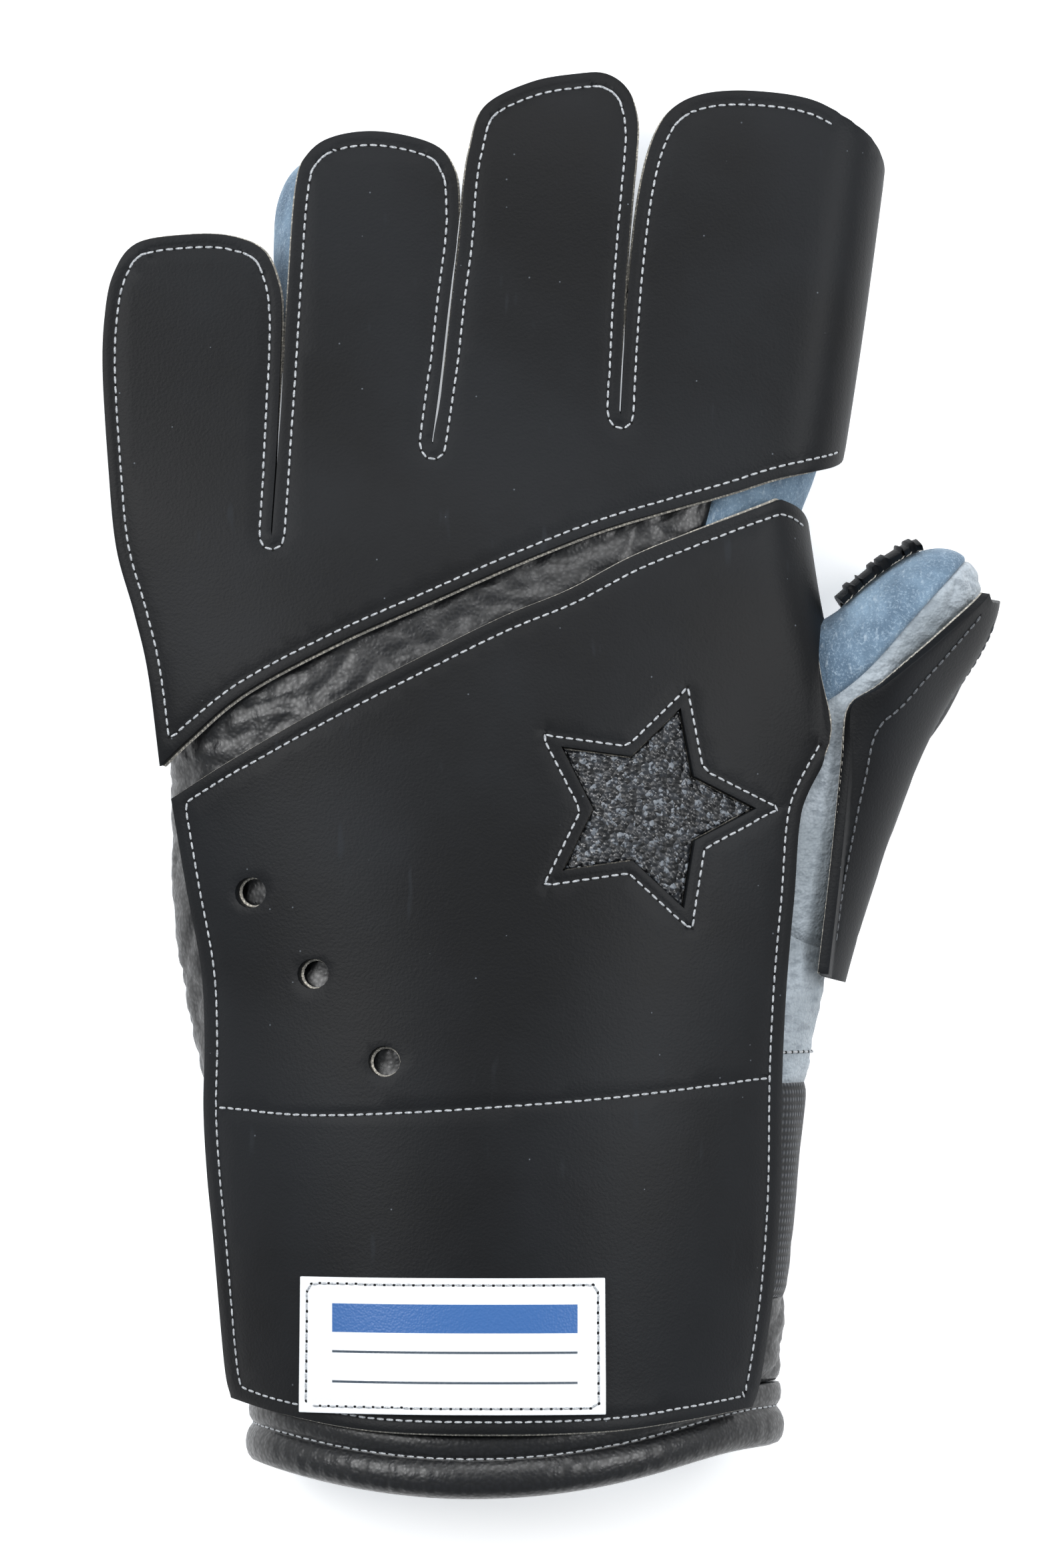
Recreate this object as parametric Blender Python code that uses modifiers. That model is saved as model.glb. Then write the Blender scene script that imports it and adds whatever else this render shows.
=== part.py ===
"""A left-hand shooting glove, lying on its palm with the fingers towards +Y and the thumb at +X.

A sewn leather and suede hand, hollow and open at the cuff, carries stiff rubber sheets on its back and
on its thumb. Lengths are in metres. In the tables, a place is (across, along): across is a share of
FINGER_SPAN and along a share of GLOVE_LENGTH, both from the middle of the glove.
"""
import math

import bmesh
import bpy
import numpy as np
from mathutils import Vector, geometry
from mathutils.geometry import delaunay_2d_cdt

# Driving sizes
GLOVE_LENGTH = 0.300
FINGER_SPAN = 0.1627
FINGER_HEIGHT = 0.030
CUFF_HEIGHT = 0.058
HAND_TUCK = 0.004
FINGER_TUCK = 0.003
TIP_REACH = 0.004
WEB_REACH = 0.002
LEATHER_WALL = 0.0025
ELASTIC_WALL = 0.0016
SEAM_GAP = 0.0006
SEAT_GAP = 0.0008
THUMB_SEAT_GAP = 0.0016

RUBBER = 0.0024
SIDE_RADIUS = 0.012
SHEET_STEP = 0.0095
PATCH_STEP = 0.0080
OUTLINE_STEP = 0.0060

THUMB_LENGTH = 0.0507
THUMB_WIDTH = 0.0275
THUMB_THICKNESS = 0.0215
THUMB_ANGLE = math.radians(48.4)
THUMB_ROLL = math.radians(52)
THUMB_PLACE = (0.339, 0.033)
THUMB_ROOT_HEIGHT = 0.0168
THUMB_TIP_HEIGHT = 0.0155

STAR_PLACE = (0.127, -0.016)
STAR_RADIUS = 0.0220
STAR_WAIST = 0.52
STAR_TURN = math.radians(72.4)
GRIP_THICKNESS = 0.0014
GRIP_CLEARANCE = 0.0004

HOLE_RADIUS = 0.0032
HOLE_PLACES = ((-0.373, -0.074), (-0.293, -0.131), (-0.204, -0.192))

PATCH_WIDTH = 0.0603
PATCH_HEIGHT = 0.0285
PATCH_THICKNESS = 0.0008
PATCH_PLACE = (-0.118, -0.389)

RIM_LENGTH = 0.0135
RIM_THICKNESS = 0.0070
RIM_SEAM_DEPTH = 0.0010
RIM_SPLIT = 0.0135

# Height of the leather back: (along, share of the way from FINGER_HEIGHT to CUFF_HEIGHT, drop at the
# sides as a share of the height there)
BACK_HEIGHT = (
    (-0.50, 1.00, 0.42),
    (-0.28, 0.95, 0.40),
    (-0.12, 0.80, 0.36),
    (0.04, 0.60, 0.30),
    (0.16, 0.36, 0.24),
    (0.25, 0.15, 0.19),
    (0.35, 0.00, 0.16),
    (0.45, -0.16, 0.14),
    (0.52, -0.34, 0.14),
)
# Rows of the hand from the cuff to the knuckles: left (across, along), right (across, along), how far the
# middle stands towards the cuff (share of length), bulge of the left and right side and drop of the
# right shoulder (shares of FINGER_HEIGHT)
HAND_ROWS = (
    ((-0.380, -0.430), (0.253, -0.419), 0.026, 0.06, 0.44, 0.00),
    ((-0.398, -0.367), (0.267, -0.362), 0.012, 0.08, 0.40, 0.00),
    ((-0.411, -0.292), (0.278, -0.292), 0.000, 0.08, 0.42, 0.00),
    ((-0.421, -0.217), (0.282, -0.207), 0.000, 0.22, 0.50, 0.00),
    ((-0.422, -0.142), (0.290, -0.133), 0.000, 0.46, 0.60, 0.00),
    ((-0.444, -0.071), (0.315, 0.064), 0.000, 0.44, 0.30, 0.20),
    ((-0.466, -0.006), (0.318, 0.132), 0.000, 0.20, 0.12, 0.24),
    ((-0.489, 0.043), (0.312, 0.183), 0.000, 0.08, 0.08, 0.18),
    ((-0.513, 0.114), (0.346, 0.218), 0.000, 0.06, 0.08, 0.18),
)
THUMB_ROWS = (4, 5, 6)
ELASTIC_ROWS = (1, 2)
# Where the fingers leave the hand: outer side, then middle and slit of each finger in turn
FINGER_BASE = (
    (-0.548, 0.186), (-0.448, 0.172), (-0.354, 0.165), (-0.253, 0.193), (-0.151, 0.227),
    (-0.029, 0.239), (0.095, 0.249), (0.228, 0.250), (0.362, 0.252),
)
FINGER_NAMES = ("little_finger", "ring_finger", "middle_finger", "index_finger")
# Rings of each finger: along, left across, right across, bulge of the left and right side (shares of
# FINGER_HEIGHT). The last ring of each is the one before the rounded tip.
FINGER_RINGS = {
    "little_finger": (
        (0.225, -0.553, -0.367, 0.06, 0.05),
        (0.290, -0.561, -0.360, 0.06, 0.05),
        (0.340, -0.557, -0.358, 0.06, 0.05),
        (0.371, -0.525, -0.382, 0.03, 0.03),
    ),
    "ring_finger": (
        (0.260, -0.332, -0.164, 0.05, 0.04),
        (0.340, -0.326, -0.141, 0.24, 0.03),
        (0.410, -0.318, -0.131, 0.38, 0.03),
        (0.448, -0.283, -0.160, 0.34, 0.02),
    ),
    "middle_finger": (
        (0.285, -0.120, 0.082, 0.04, 0.04),
        (0.370, -0.107, 0.090, 0.03, 0.07),
        (0.455, -0.084, 0.104, 0.03, 0.24),
        (0.489, -0.040, 0.078, 0.02, 0.20),
    ),
    "index_finger": (
        (0.300, 0.111, 0.376, 0.05, 0.05),
        (0.375, 0.126, 0.393, 0.05, 0.05),
        (0.440, 0.150, 0.402, 0.05, 0.05),
        (0.470, 0.190, 0.340, 0.03, 0.03),
    ),
}
INDEX_SHOULDER_DROP = 0.18
# Rings of the thumb: share of its length, width share, thickness share
THUMB_RINGS = ((0.34, 0.92, 1.00), (0.64, 0.90, 0.88), (0.87, 0.70, 0.72), (0.98, 0.44, 0.44))

# Outlines of the rubber sheets, laid flat: smooth runs that meet at corners
FINGER_PANEL = (
    ((-0.491, 0.015), (-0.508, 0.080), (-0.527, 0.122), (-0.551, 0.167), (-0.563, 0.222),
     (-0.572, 0.289), (-0.570, 0.330), (-0.559, 0.360), (-0.530, 0.381), (-0.465, 0.387),
     (-0.409, 0.386), (-0.366, 0.376), (-0.347, 0.354), (-0.342, 0.331), (-0.344, 0.281),
     (-0.348, 0.228), (-0.3535, 0.174)),
    ((-0.3520, 0.174), (-0.346, 0.228), (-0.340, 0.281), (-0.334, 0.343), (-0.324, 0.420),
     (-0.308, 0.444), (-0.273, 0.456), (-0.214, 0.459), (-0.146, 0.450), (-0.120, 0.433),
     (-0.114, 0.411), (-0.116, 0.383), (-0.1255, 0.343), (-0.1365, 0.289), (-0.1490, 0.237)),
    ((-0.1465, 0.237), (-0.1325, 0.289), (-0.1215, 0.343), (-0.112, 0.383), (-0.107, 0.421),
     (-0.099, 0.448), (-0.080, 0.477), (-0.020, 0.494), (0.040, 0.500), (0.077, 0.500),
     (0.105, 0.489), (0.117, 0.468), (0.116, 0.445), (0.111, 0.416), (0.103, 0.364),
     (0.098, 0.317), (0.0930, 0.259)),
    ((0.0950, 0.259), (0.101, 0.317), (0.108, 0.364), (0.120, 0.416), (0.137, 0.453),
     (0.162, 0.475), (0.204, 0.486), (0.270, 0.488), (0.349, 0.481), (0.409, 0.460),
     (0.450, 0.440), (0.498, 0.425)),
    ((0.498, 0.425), (0.480, 0.327), (0.458, 0.241)),
    ((0.458, 0.241), (0.407, 0.232), (0.373, 0.226), (0.297, 0.216), (0.234, 0.205),
     (0.157, 0.193), (0.068, 0.178), (-0.038, 0.155), (-0.154, 0.127), (-0.269, 0.099),
     (-0.385, 0.065), (-0.456, 0.033), (-0.491, 0.015)),
)
HAND_PANEL = (
    ((-0.394, -0.428), (-0.403, -0.404), (-0.418, -0.315), (-0.426, -0.272), (-0.431, -0.226),
     (-0.430, -0.178), (-0.435, -0.128), (-0.455, -0.071), (-0.469, -0.029), (-0.476, -0.008)),
    ((-0.476, -0.008), (-0.404, 0.017), (-0.288, 0.053), (-0.172, 0.086), (-0.057, 0.117),
     (0.027, 0.136), (0.106, 0.159), (0.189, 0.178), (0.296, 0.201)),
    ((0.296, 0.201), (0.325, 0.195), (0.350, 0.187), (0.372, 0.177)),
    ((0.372, 0.177), (0.371, 0.139), (0.374, 0.102), (0.379, 0.072), (0.376, 0.050),
     (0.364, 0.031), (0.329, -0.004), (0.317, -0.027), (0.310, -0.074), (0.304, -0.106),
     (0.297, -0.151), (0.292, -0.207), (0.290, -0.273), (0.286, -0.315), (0.278, -0.362),
     (0.262, -0.418), (0.252, -0.435)),
    ((0.252, -0.435), (0.170, -0.442), (0.075, -0.448), (-0.063, -0.450), (-0.216, -0.448),
     (-0.332, -0.438), (-0.394, -0.428)),
)
# Outermost reach of each sheet where it turns down round the side: (along, across)
FINGER_PANEL_SIDE = ((0.20, 0.356), (0.24, 0.364), (0.34, 0.388), (0.445, 0.413), (0.50, 0.426))
HAND_PANEL_SIDE = (
    (-0.50, 0.70), (-0.10, 0.55), (-0.03, 0.45), (0.03, 0.400), (0.069, 0.374), (0.107, 0.354),
    (0.134, 0.340), (0.163, 0.329), (0.195, 0.318), (0.23, 0.310),
)
# Thumb sheets: rows from the thumb's tip, each with a near edge and a far edge as (across, along,
# share of FINGER_HEIGHT)
THUMB_OUTER_PANEL = (
    ((0.564, 0.137, 0.66), (0.564, 0.133, 0.44)),
    ((0.524, 0.120, 0.80), (0.556, 0.109, 0.36)),
    ((0.468, 0.093, 0.93), (0.538, 0.085, 0.29)),
    ((0.425, 0.071, 1.00), (0.511, 0.055, 0.26)),
    ((0.389, 0.055, 1.04), (0.478, 0.029, 0.26)),
    ((0.381, 0.018, 1.04), (0.442, 0.000, 0.26)),
    ((0.373, -0.025, 1.04), (0.407, -0.031, 0.26)),
    ((0.364, -0.071, 1.03), (0.376, -0.071, 0.26)),
    ((0.351, -0.131, 1.00), (0.352, -0.131, 0.28)),
)
THUMB_INNER_PANEL = (
    ((0.489, 0.169, 0.72), (0.489, 0.163, 0.22)),
    ((0.470, 0.174, 0.76), (0.464, 0.166, 0.22)),
    ((0.413, 0.158, 0.82), (0.409, 0.150, 0.22)),
    ((0.366, 0.141, 0.86), (0.372, 0.136, 0.26)),
)
THUMB_PANEL_BULGE = 0.06
THUMB_COLUMNS = 6

# Colour, roughness and metallic value of each material
RUBBER_BLACK = ((0.014, 0.015, 0.017, 1), 0.42, 0.0)
LEATHER_BLACK = ((0.010, 0.011, 0.014, 1), 0.30, 0.0)
SUEDE_BLUE = ((0.22, 0.33, 0.46, 1), 0.95, 0.0)
LEATHER_GREY = ((0.33, 0.37, 0.42, 1), 0.55, 0.0)
ELASTIC_BLACK = ((0.012, 0.012, 0.013, 1), 0.85, 0.0)
GRIT_BLACK = ((0.02, 0.02, 0.023, 1), 0.25, 0.0)
PATCH_WHITE = ((0.78, 0.80, 0.83, 1), 0.40, 0.0)

PIECES = ("back_leather", "palm_suede") + FINGER_NAMES + (
    "thumb_suede", "thumb_leather", "side_leather", "wrist_elastic",
)
PIECE_MATERIALS = {
    "back_leather": LEATHER_BLACK,
    "thumb_leather": LEATHER_GREY,
    "side_leather": LEATHER_GREY,
    "wrist_elastic": ELASTIC_BLACK,
}


def clear_scene():
    for obj in list(bpy.data.objects):
        bpy.data.objects.remove(obj, do_unlink=True)


def new_collection(name):
    collection = bpy.data.collections.new(name)
    bpy.context.scene.collection.children.link(collection)
    return collection


def new_material(name, look):
    colour, roughness, metallic = look
    material = bpy.data.materials.new(name)
    material.use_nodes = True
    shader = material.node_tree.nodes["Principled BSDF"]
    shader.inputs["Base Color"].default_value = colour
    shader.inputs["Roughness"].default_value = roughness
    shader.inputs["Metallic"].default_value = metallic
    return material


def new_object(name, mesh, collection, look):
    mesh.name = name
    obj = bpy.data.objects.new(name, mesh)
    collection.objects.link(obj)
    obj.data.materials.clear()
    obj.data.materials.append(new_material(name + "_look", look))
    return obj


def smooth_value(x, table, column):
    """The table's column at x, on one smooth curve through its rows."""
    xs = np.array([row[0] for row in table])
    ys = np.array([row[column] for row in table])
    slopes = np.gradient(ys, xs)
    x = min(max(x, xs[0]), xs[-1])
    i = min(int(np.searchsorted(xs, x, side="right")) - 1, len(xs) - 2)
    width = xs[i + 1] - xs[i]
    t = (x - xs[i]) / width
    start = (1 + 2 * t) * (1 - t) ** 2 * ys[i] + t * (1 - t) ** 2 * width * slopes[i]
    end = t * t * (3 - 2 * t) * ys[i + 1] + t * t * (t - 1) * width * slopes[i + 1]
    return float(start + end)


def side_places(along):
    """Across shares of the hand's left and right shoulder at this share along it."""
    rows = [(row[0][1], row[0][0]) for row in HAND_ROWS] + [(0.25, -0.556), (0.52, -0.556)]
    left = smooth_value(along, rows, 1)
    rows = [(row[1][1], row[1][0]) for row in HAND_ROWS] + [(0.25, 0.372), (0.52, 0.40)]
    right = smooth_value(along, rows, 1)
    return left, right


def back_height(across, along):
    """Height of the leather back over the floor."""
    share = smooth_value(along, BACK_HEIGHT, 1)
    drop = smooth_value(along, BACK_HEIGHT, 2)
    left, right = side_places(along)
    side = (across - (left + right) / 2) / ((right - left) / 2)
    height = FINGER_HEIGHT + share * (CUFF_HEIGHT - FINGER_HEIGHT)
    return height * (1 - drop * min(abs(side), 1.25) ** 2.3)


def place(across, along, height):
    return Vector((across * FINGER_SPAN, along * GLOVE_LENGTH, height))


def mix(a, b, share):
    return tuple(x + (y - x) * share for x, y in zip(a, b))


# The sewn hand: one coarse cage, subdivided, then cut into its pieces


class Cage:
    """Points and faces of the glove's coarse cage, each face with the name of its piece."""

    def __init__(self):
        self.points = []
        self.faces = []
        self.labels = []
        self.creases = {}

    def add(self, point):
        self.points.append(Vector(point))
        return len(self.points) - 1

    def face(self, corners, label):
        self.faces.append(tuple(corners))
        self.labels.append(PIECES.index(label))

    def crease(self, a, b, sharpness):
        self.creases[frozenset((a, b))] = sharpness


def loop_points(cage, tops, left_bulge, right_bulge, shoulder_drop, tuck):
    """A closed ring round the hand or a finger: the top points, then a right side point, the bottom
    points and a left side point. tops holds (across, along) from left to right."""
    top = []
    for i, (across, along) in enumerate(tops):
        height = back_height(across, along)
        if i == len(tops) - 1:
            height -= shoulder_drop * FINGER_HEIGHT
        top.append(cage.add(place(across, along, height)))
    left, right = cage.points[top[0]], cage.points[top[-1]]
    outward = FINGER_HEIGHT
    right_side = cage.add((right.x + right_bulge * outward, right.y, right.z * 0.50))
    left_side = cage.add((left.x - left_bulge * outward, left.y, left.z * 0.50))
    bottom = []
    for i, index in enumerate(top):
        point = cage.points[index]
        inset = 0.0
        if i == 0:
            inset = tuck
        if i == len(top) - 1:
            inset = -tuck
        height = 0.0 if 0 < i < len(top) - 1 else 0.06 * FINGER_HEIGHT
        bottom.append(cage.add((point.x + inset, point.y, height)))
    return top, right_side, bottom, left_side


def hand_cage(cage):
    """Rows of points round the cuff and the hand, up to the row where the fingers leave."""
    base = [place(across, along, 0) for across, along in FINGER_BASE]
    span = base[-1].x - base[0].x
    columns = [(point.x - base[0].x) / span for point in base]
    rows = []
    for left, right, bow, left_bulge, right_bulge, drop in HAND_ROWS:
        tops = []
        for share in columns:
            across, along = mix(left, right, share)
            tops.append((across, along - bow * 4 * share * (1 - share)))
        rows.append(loop_points(cage, tops, left_bulge, right_bulge, drop, HAND_TUCK))
    rows.append(loop_points(cage, FINGER_BASE, 0.06, 0.06, INDEX_SHOULDER_DROP, HAND_TUCK))
    for j in range(len(rows) - 1):
        top, right_side, bottom, left_side = rows[j]
        next_top, next_right, next_bottom, next_left = rows[j + 1]
        cuff_side = "wrist_elastic" if j in ELASTIC_ROWS else "side_leather"
        if j == 0:
            cuff_side = "back_leather"
        if j >= THUMB_ROWS[-1]:
            cuff_side = "palm_suede"
        back = "back_leather"
        for i in range(len(top) - 1):
            label = "palm_suede" if j >= THUMB_ROWS[-1] and i == len(top) - 2 else back
            cage.face((top[i], top[i + 1], next_top[i + 1], next_top[i]), label)
            under = (bottom[i + 1], bottom[i], next_bottom[i], next_bottom[i + 1])
            cage.face(under, "palm_suede")
        if j not in THUMB_ROWS[:-1]:
            cage.face((top[-1], right_side, next_right, next_top[-1]), cuff_side)
            cage.face((right_side, bottom[-1], next_bottom[-1], next_right), cuff_side)
        cage.face((left_side, top[0], next_top[0], next_left), "back_leather")
        cage.face((bottom[0], left_side, next_left, next_bottom[0]), "palm_suede")
    return rows


def finger_cage(cage, base_row, number, webs):
    """One finger: rings of eight points from the hand to its rounded tip."""
    name = FINGER_NAMES[number]
    top, right_side, bottom, left_side = base_row
    first = 2 * number
    ring = [
        top[first], top[first + 1], top[first + 2],
        webs.get(number + 1, right_side),
        bottom[first + 2], bottom[first + 1], bottom[first],
        webs.get(number, left_side),
    ]
    is_index = number == len(FINGER_NAMES) - 1
    for along, left, right, left_bulge, right_bulge in FINGER_RINGS[name]:
        drop = INDEX_SHOULDER_DROP if is_index else 0.0
        tops = [(left, along), ((left + right) / 2, along), (right, along)]
        made = loop_points(cage, tops, left_bulge, right_bulge, drop, FINGER_TUCK)
        next_top, next_right, next_bottom, next_left = made
        upper = [*next_top, next_right, *reversed(next_bottom), next_left]
        for i in range(8):
            j = (i + 1) % 8
            cage.face((ring[i], ring[j], upper[j], upper[i]), name)
        if upper is not ring:
            cage.crease(ring[0], upper[0], 0.75)
            if not is_index:
                cage.crease(ring[2], upper[2], 0.75)
        ring = upper
    close_tip(cage, ring, [name] * 4)


def close_tip(cage, ring, labels):
    """Four faces round a middle point over the end of a ring of eight."""
    centre = sum((cage.points[i] for i in ring), Vector()) / 8
    outward = cage.points[ring[1]] - centre
    across = cage.points[ring[2]] - cage.points[ring[0]]
    ahead = across.cross(outward).normalized() * -1
    if ahead.y < 0:
        ahead = -ahead
    middle = cage.add(centre + ahead * TIP_REACH)
    quads = ((0, 1, 7), (1, 2, 3), (7, 5, 6), (3, 4, 5))
    cage.face((ring[7], ring[0], ring[1], middle), labels[0])
    cage.face((ring[1], ring[2], ring[3], middle), labels[1])
    cage.face((ring[3], ring[4], ring[5], middle), labels[2])
    cage.face((ring[5], ring[6], ring[7], middle), labels[3])
    return quads


def thumb_axes():
    """The thumb's direction, the direction of its width, up and inwards, and that of its outer face."""
    ahead = Vector((math.cos(THUMB_ANGLE), math.sin(THUMB_ANGLE), 0))
    inward = Vector((-math.sin(THUMB_ANGLE), math.cos(THUMB_ANGLE), 0))
    up = Vector((0, 0, 1))
    width = inward * math.cos(THUMB_ROLL) + up * math.sin(THUMB_ROLL)
    rise = up * math.cos(THUMB_ROLL) - inward * math.sin(THUMB_ROLL)
    return ahead, width, rise


def thumb_cage(cage, rows):
    """The thumb: rings of eight points that leave the hand's right side."""
    low, middle, high = (rows[j] for j in THUMB_ROWS)
    ring = [
        low[0][-1], middle[0][-1], high[0][-1], high[1],
        high[2][-1], middle[2][-1], low[2][-1], low[1],
    ]
    labels = [
        "thumb_leather", "thumb_suede", "thumb_suede", "thumb_suede",
        "thumb_suede", "thumb_suede", "thumb_leather", "thumb_leather",
    ]
    ahead, width, rise = thumb_axes()
    root = place(*THUMB_PLACE, THUMB_ROOT_HEIGHT)
    corners = (
        (0, 1.10), (1, 1), (1.12, 0), (1, -1),
        (0, -1.10), (-1, -1), (-1.12, 0), (-1, 1),
    )
    for share, wide, thick in THUMB_RINGS:
        centre = root + ahead * (THUMB_LENGTH * share)
        centre.z = THUMB_ROOT_HEIGHT + (THUMB_TIP_HEIGHT - THUMB_ROOT_HEIGHT) * share
        upper = []
        for a, b in corners:
            offset = width * (a * wide * THUMB_WIDTH / 2) + rise * (b * thick * THUMB_THICKNESS / 2)
            upper.append(cage.add(centre + offset))
        for i in range(8):
            j = (i + 1) % 8
            cage.face((ring[i], ring[j], upper[j], upper[i]), labels[i])
        ring = upper
    tip_labels = ["thumb_leather", "thumb_suede", "thumb_suede", "thumb_leather"]
    close_tip(cage, ring, tip_labels)


def glove_form(collection):
    """The whole sewn hand as one smooth surface without thickness; its faces know their piece."""
    cage = Cage()
    rows = hand_cage(cage)
    base = rows[-1]
    webs = {}
    for slit in (1, 2, 3):
        top, bottom = cage.points[base[0][2 * slit]], cage.points[base[2][2 * slit]]
        webs[slit] = cage.add((top + bottom) / 2 + Vector((0, WEB_REACH, 0)))
    for number in range(4):
        finger_cage(cage, base, number, webs)
    thumb_cage(cage, rows)
    mesh = bpy.data.meshes.new("glove_form")
    mesh.from_pydata(cage.points, [], cage.faces)
    mesh.polygons.foreach_set("material_index", cage.labels)
    edges = bmesh.new()
    edges.from_mesh(mesh)
    layer = edges.edges.layers.float.new("crease_edge")
    for edge in edges.edges:
        key = frozenset(vertex.index for vertex in edge.verts)
        edge[layer] = cage.creases.get(key, 0.0)
    bmesh.ops.recalc_face_normals(edges, faces=edges.faces)
    edges.to_mesh(mesh)
    edges.free()
    form = bpy.data.objects.new("glove_form", mesh)
    collection.objects.link(form)
    for label in PIECES:
        mesh.materials.append(None)
    mesh.polygons.foreach_set("material_index", cage.labels)
    form.hide_render = True
    form.display_type = "WIRE"
    smooth = form.modifiers.new("smooth", "SUBSURF")
    smooth.levels = 1
    smooth.render_levels = 1
    return form


def evaluated_mesh(obj):
    graph = bpy.context.evaluated_depsgraph_get()
    graph.update()
    return bpy.data.meshes.new_from_object(obj.evaluated_get(graph))


def sewn_piece(surface, label, wall, collection):
    """The faces of one piece, drawn back a little from its seams and thickened inwards."""
    whole = bmesh.new()
    whole.from_mesh(surface)
    whole.normal_update()
    number = PIECES.index(label)
    kept = [face for face in whole.faces if face.material_index == number]
    used = {vertex for face in kept for vertex in face.verts}
    outer, inner = {}, {}
    for vertex in used:
        point = vertex.co.copy()
        own = [face for face in vertex.link_faces if face.material_index == number]
        if len(own) < len(vertex.link_faces):
            towards = sum((face.calc_center_median() for face in own), Vector()) / len(own) - point
            towards -= vertex.normal * towards.dot(vertex.normal)
            if towards.length > 1e-9:
                point += towards.normalized() * (SEAM_GAP / 2 * 1.2)
        depth = wall * min(vertex.calc_shell_factor(), 1.35)
        outer[vertex.index] = point
        inner[vertex.index] = point - vertex.normal * depth
    piece = bmesh.new()
    outside = {i: piece.verts.new(point) for i, point in outer.items()}
    inside = {i: piece.verts.new(point) for i, point in inner.items()}
    for face in kept:
        ring = [vertex.index for vertex in face.verts]
        piece.faces.new([outside[i] for i in ring])
        piece.faces.new([inside[i] for i in reversed(ring)])
        for loop in face.loops:
            mates = [f for f in loop.edge.link_faces if f.material_index == number]
            if len(mates) == 1:
                a, b = loop.vert.index, loop.link_loop_next.vert.index
                piece.faces.new((outside[b], outside[a], inside[a], inside[b]))
    bmesh.ops.recalc_face_normals(piece, faces=piece.faces)
    mesh = bpy.data.meshes.new(label)
    piece.to_mesh(mesh)
    piece.free()
    whole.free()
    look = PIECE_MATERIALS.get(label, SUEDE_BLUE)
    obj = new_object(label, mesh, collection, look)
    mesh.shade_smooth()
    return obj


# Rubber sheets


def smooth_run(points, step):
    """Points every step or so along one smooth curve through the run's own points."""
    guide = [Vector(p) for p in points]
    ends = [guide[0] * 2 - guide[1], *guide, guide[-1] * 2 - guide[-2]]
    made = []
    for a, b, c, d in zip(ends, ends[1:], ends[2:], ends[3:]):
        count = max(1, round((c - b).length / step))
        for k in range(count):
            t = k / count
            made.append(
                0.5 * (2 * b + (c - a) * t + (2 * a - 5 * b + 4 * c - d) * t * t
                       + (3 * b - a - 3 * c + d) * t ** 3)
            )
    return made


def flat_outline(runs, step):
    """A closed outline in metres, laid flat, from runs of (across, along)."""
    outline = []
    for run in runs:
        points = [(u * FINGER_SPAN, v * GLOVE_LENGTH) for u, v in run]
        outline.extend(smooth_run(points, step))
    return outline


def star_outline(radius):
    """A five-pointed star in metres, laid flat."""
    centre = Vector((STAR_PLACE[0] * FINGER_SPAN, STAR_PLACE[1] * GLOVE_LENGTH))
    points = []
    for k in range(10):
        reach = radius if k % 2 == 0 else radius * STAR_WAIST
        angle = STAR_TURN - k * math.pi / 5
        points.append(centre + Vector((math.cos(angle), math.sin(angle))) * reach)
    return points


def hole_outline(across, along):
    centre = Vector((across * FINGER_SPAN, along * GLOVE_LENGTH))
    sides = 16
    turn = 2 * math.pi / sides
    return [
        centre + Vector((math.cos(k * turn), math.sin(k * turn))) * HOLE_RADIUS
        for k in range(sides)
    ]


def patch_outline():
    centre = Vector((PATCH_PLACE[0] * FINGER_SPAN, PATCH_PLACE[1] * GLOVE_LENGTH))
    half_width, half_height = PATCH_WIDTH / 2, PATCH_HEIGHT / 2
    corners = [
        centre + Vector((a * half_width, b * half_height))
        for a, b in ((-1, -1), (-1, 1), (1, 1), (1, -1), (-1, -1))
    ]
    outline = []
    for a, b in zip(corners, corners[1:]):
        count = round((b - a).length / PATCH_STEP)
        outline.extend(a.lerp(b, k / count) for k in range(count))
    return outline


def inside_outline(point, outline):
    """True if the point is inside the closed outline."""
    crossed = False
    for a, b in zip(outline, outline[1:] + outline[:1]):
        if (a.y > point.y) != (b.y > point.y):
            if point.x < a.x + (point.y - a.y) / (b.y - a.y) * (b.x - a.x):
                crossed = not crossed
    return crossed


def bent_point(point, side, lift):
    """Where a point of the flat sheet comes to lie on the back, or round its right side."""
    along = point.y / GLOVE_LENGTH
    reach = smooth_value(along, side, 1) * FINGER_SPAN if side else 10.0
    start = reach - SIDE_RADIUS * 0.75
    probe = 0.001
    at = min(point.x, start)
    here = back_height(at / FINGER_SPAN, along)
    slope = (back_height((at + probe) / FINGER_SPAN, along) - here) / probe
    angle = math.atan(-slope)
    turned = angle
    position = Vector((at, point.y, here))
    if point.x > start:
        turned = min(angle + (point.x - start) / SIDE_RADIUS, math.radians(88))
        position.x += SIDE_RADIUS * (math.sin(turned) - math.sin(angle))
        position.z -= SIDE_RADIUS * (math.cos(angle) - math.cos(turned))
        rest = point.x - start - SIDE_RADIUS * (turned - angle)
        position += Vector((math.cos(turned), 0, -math.sin(turned))) * rest
    return position + Vector((math.sin(turned), 0, math.cos(turned))) * lift


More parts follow.
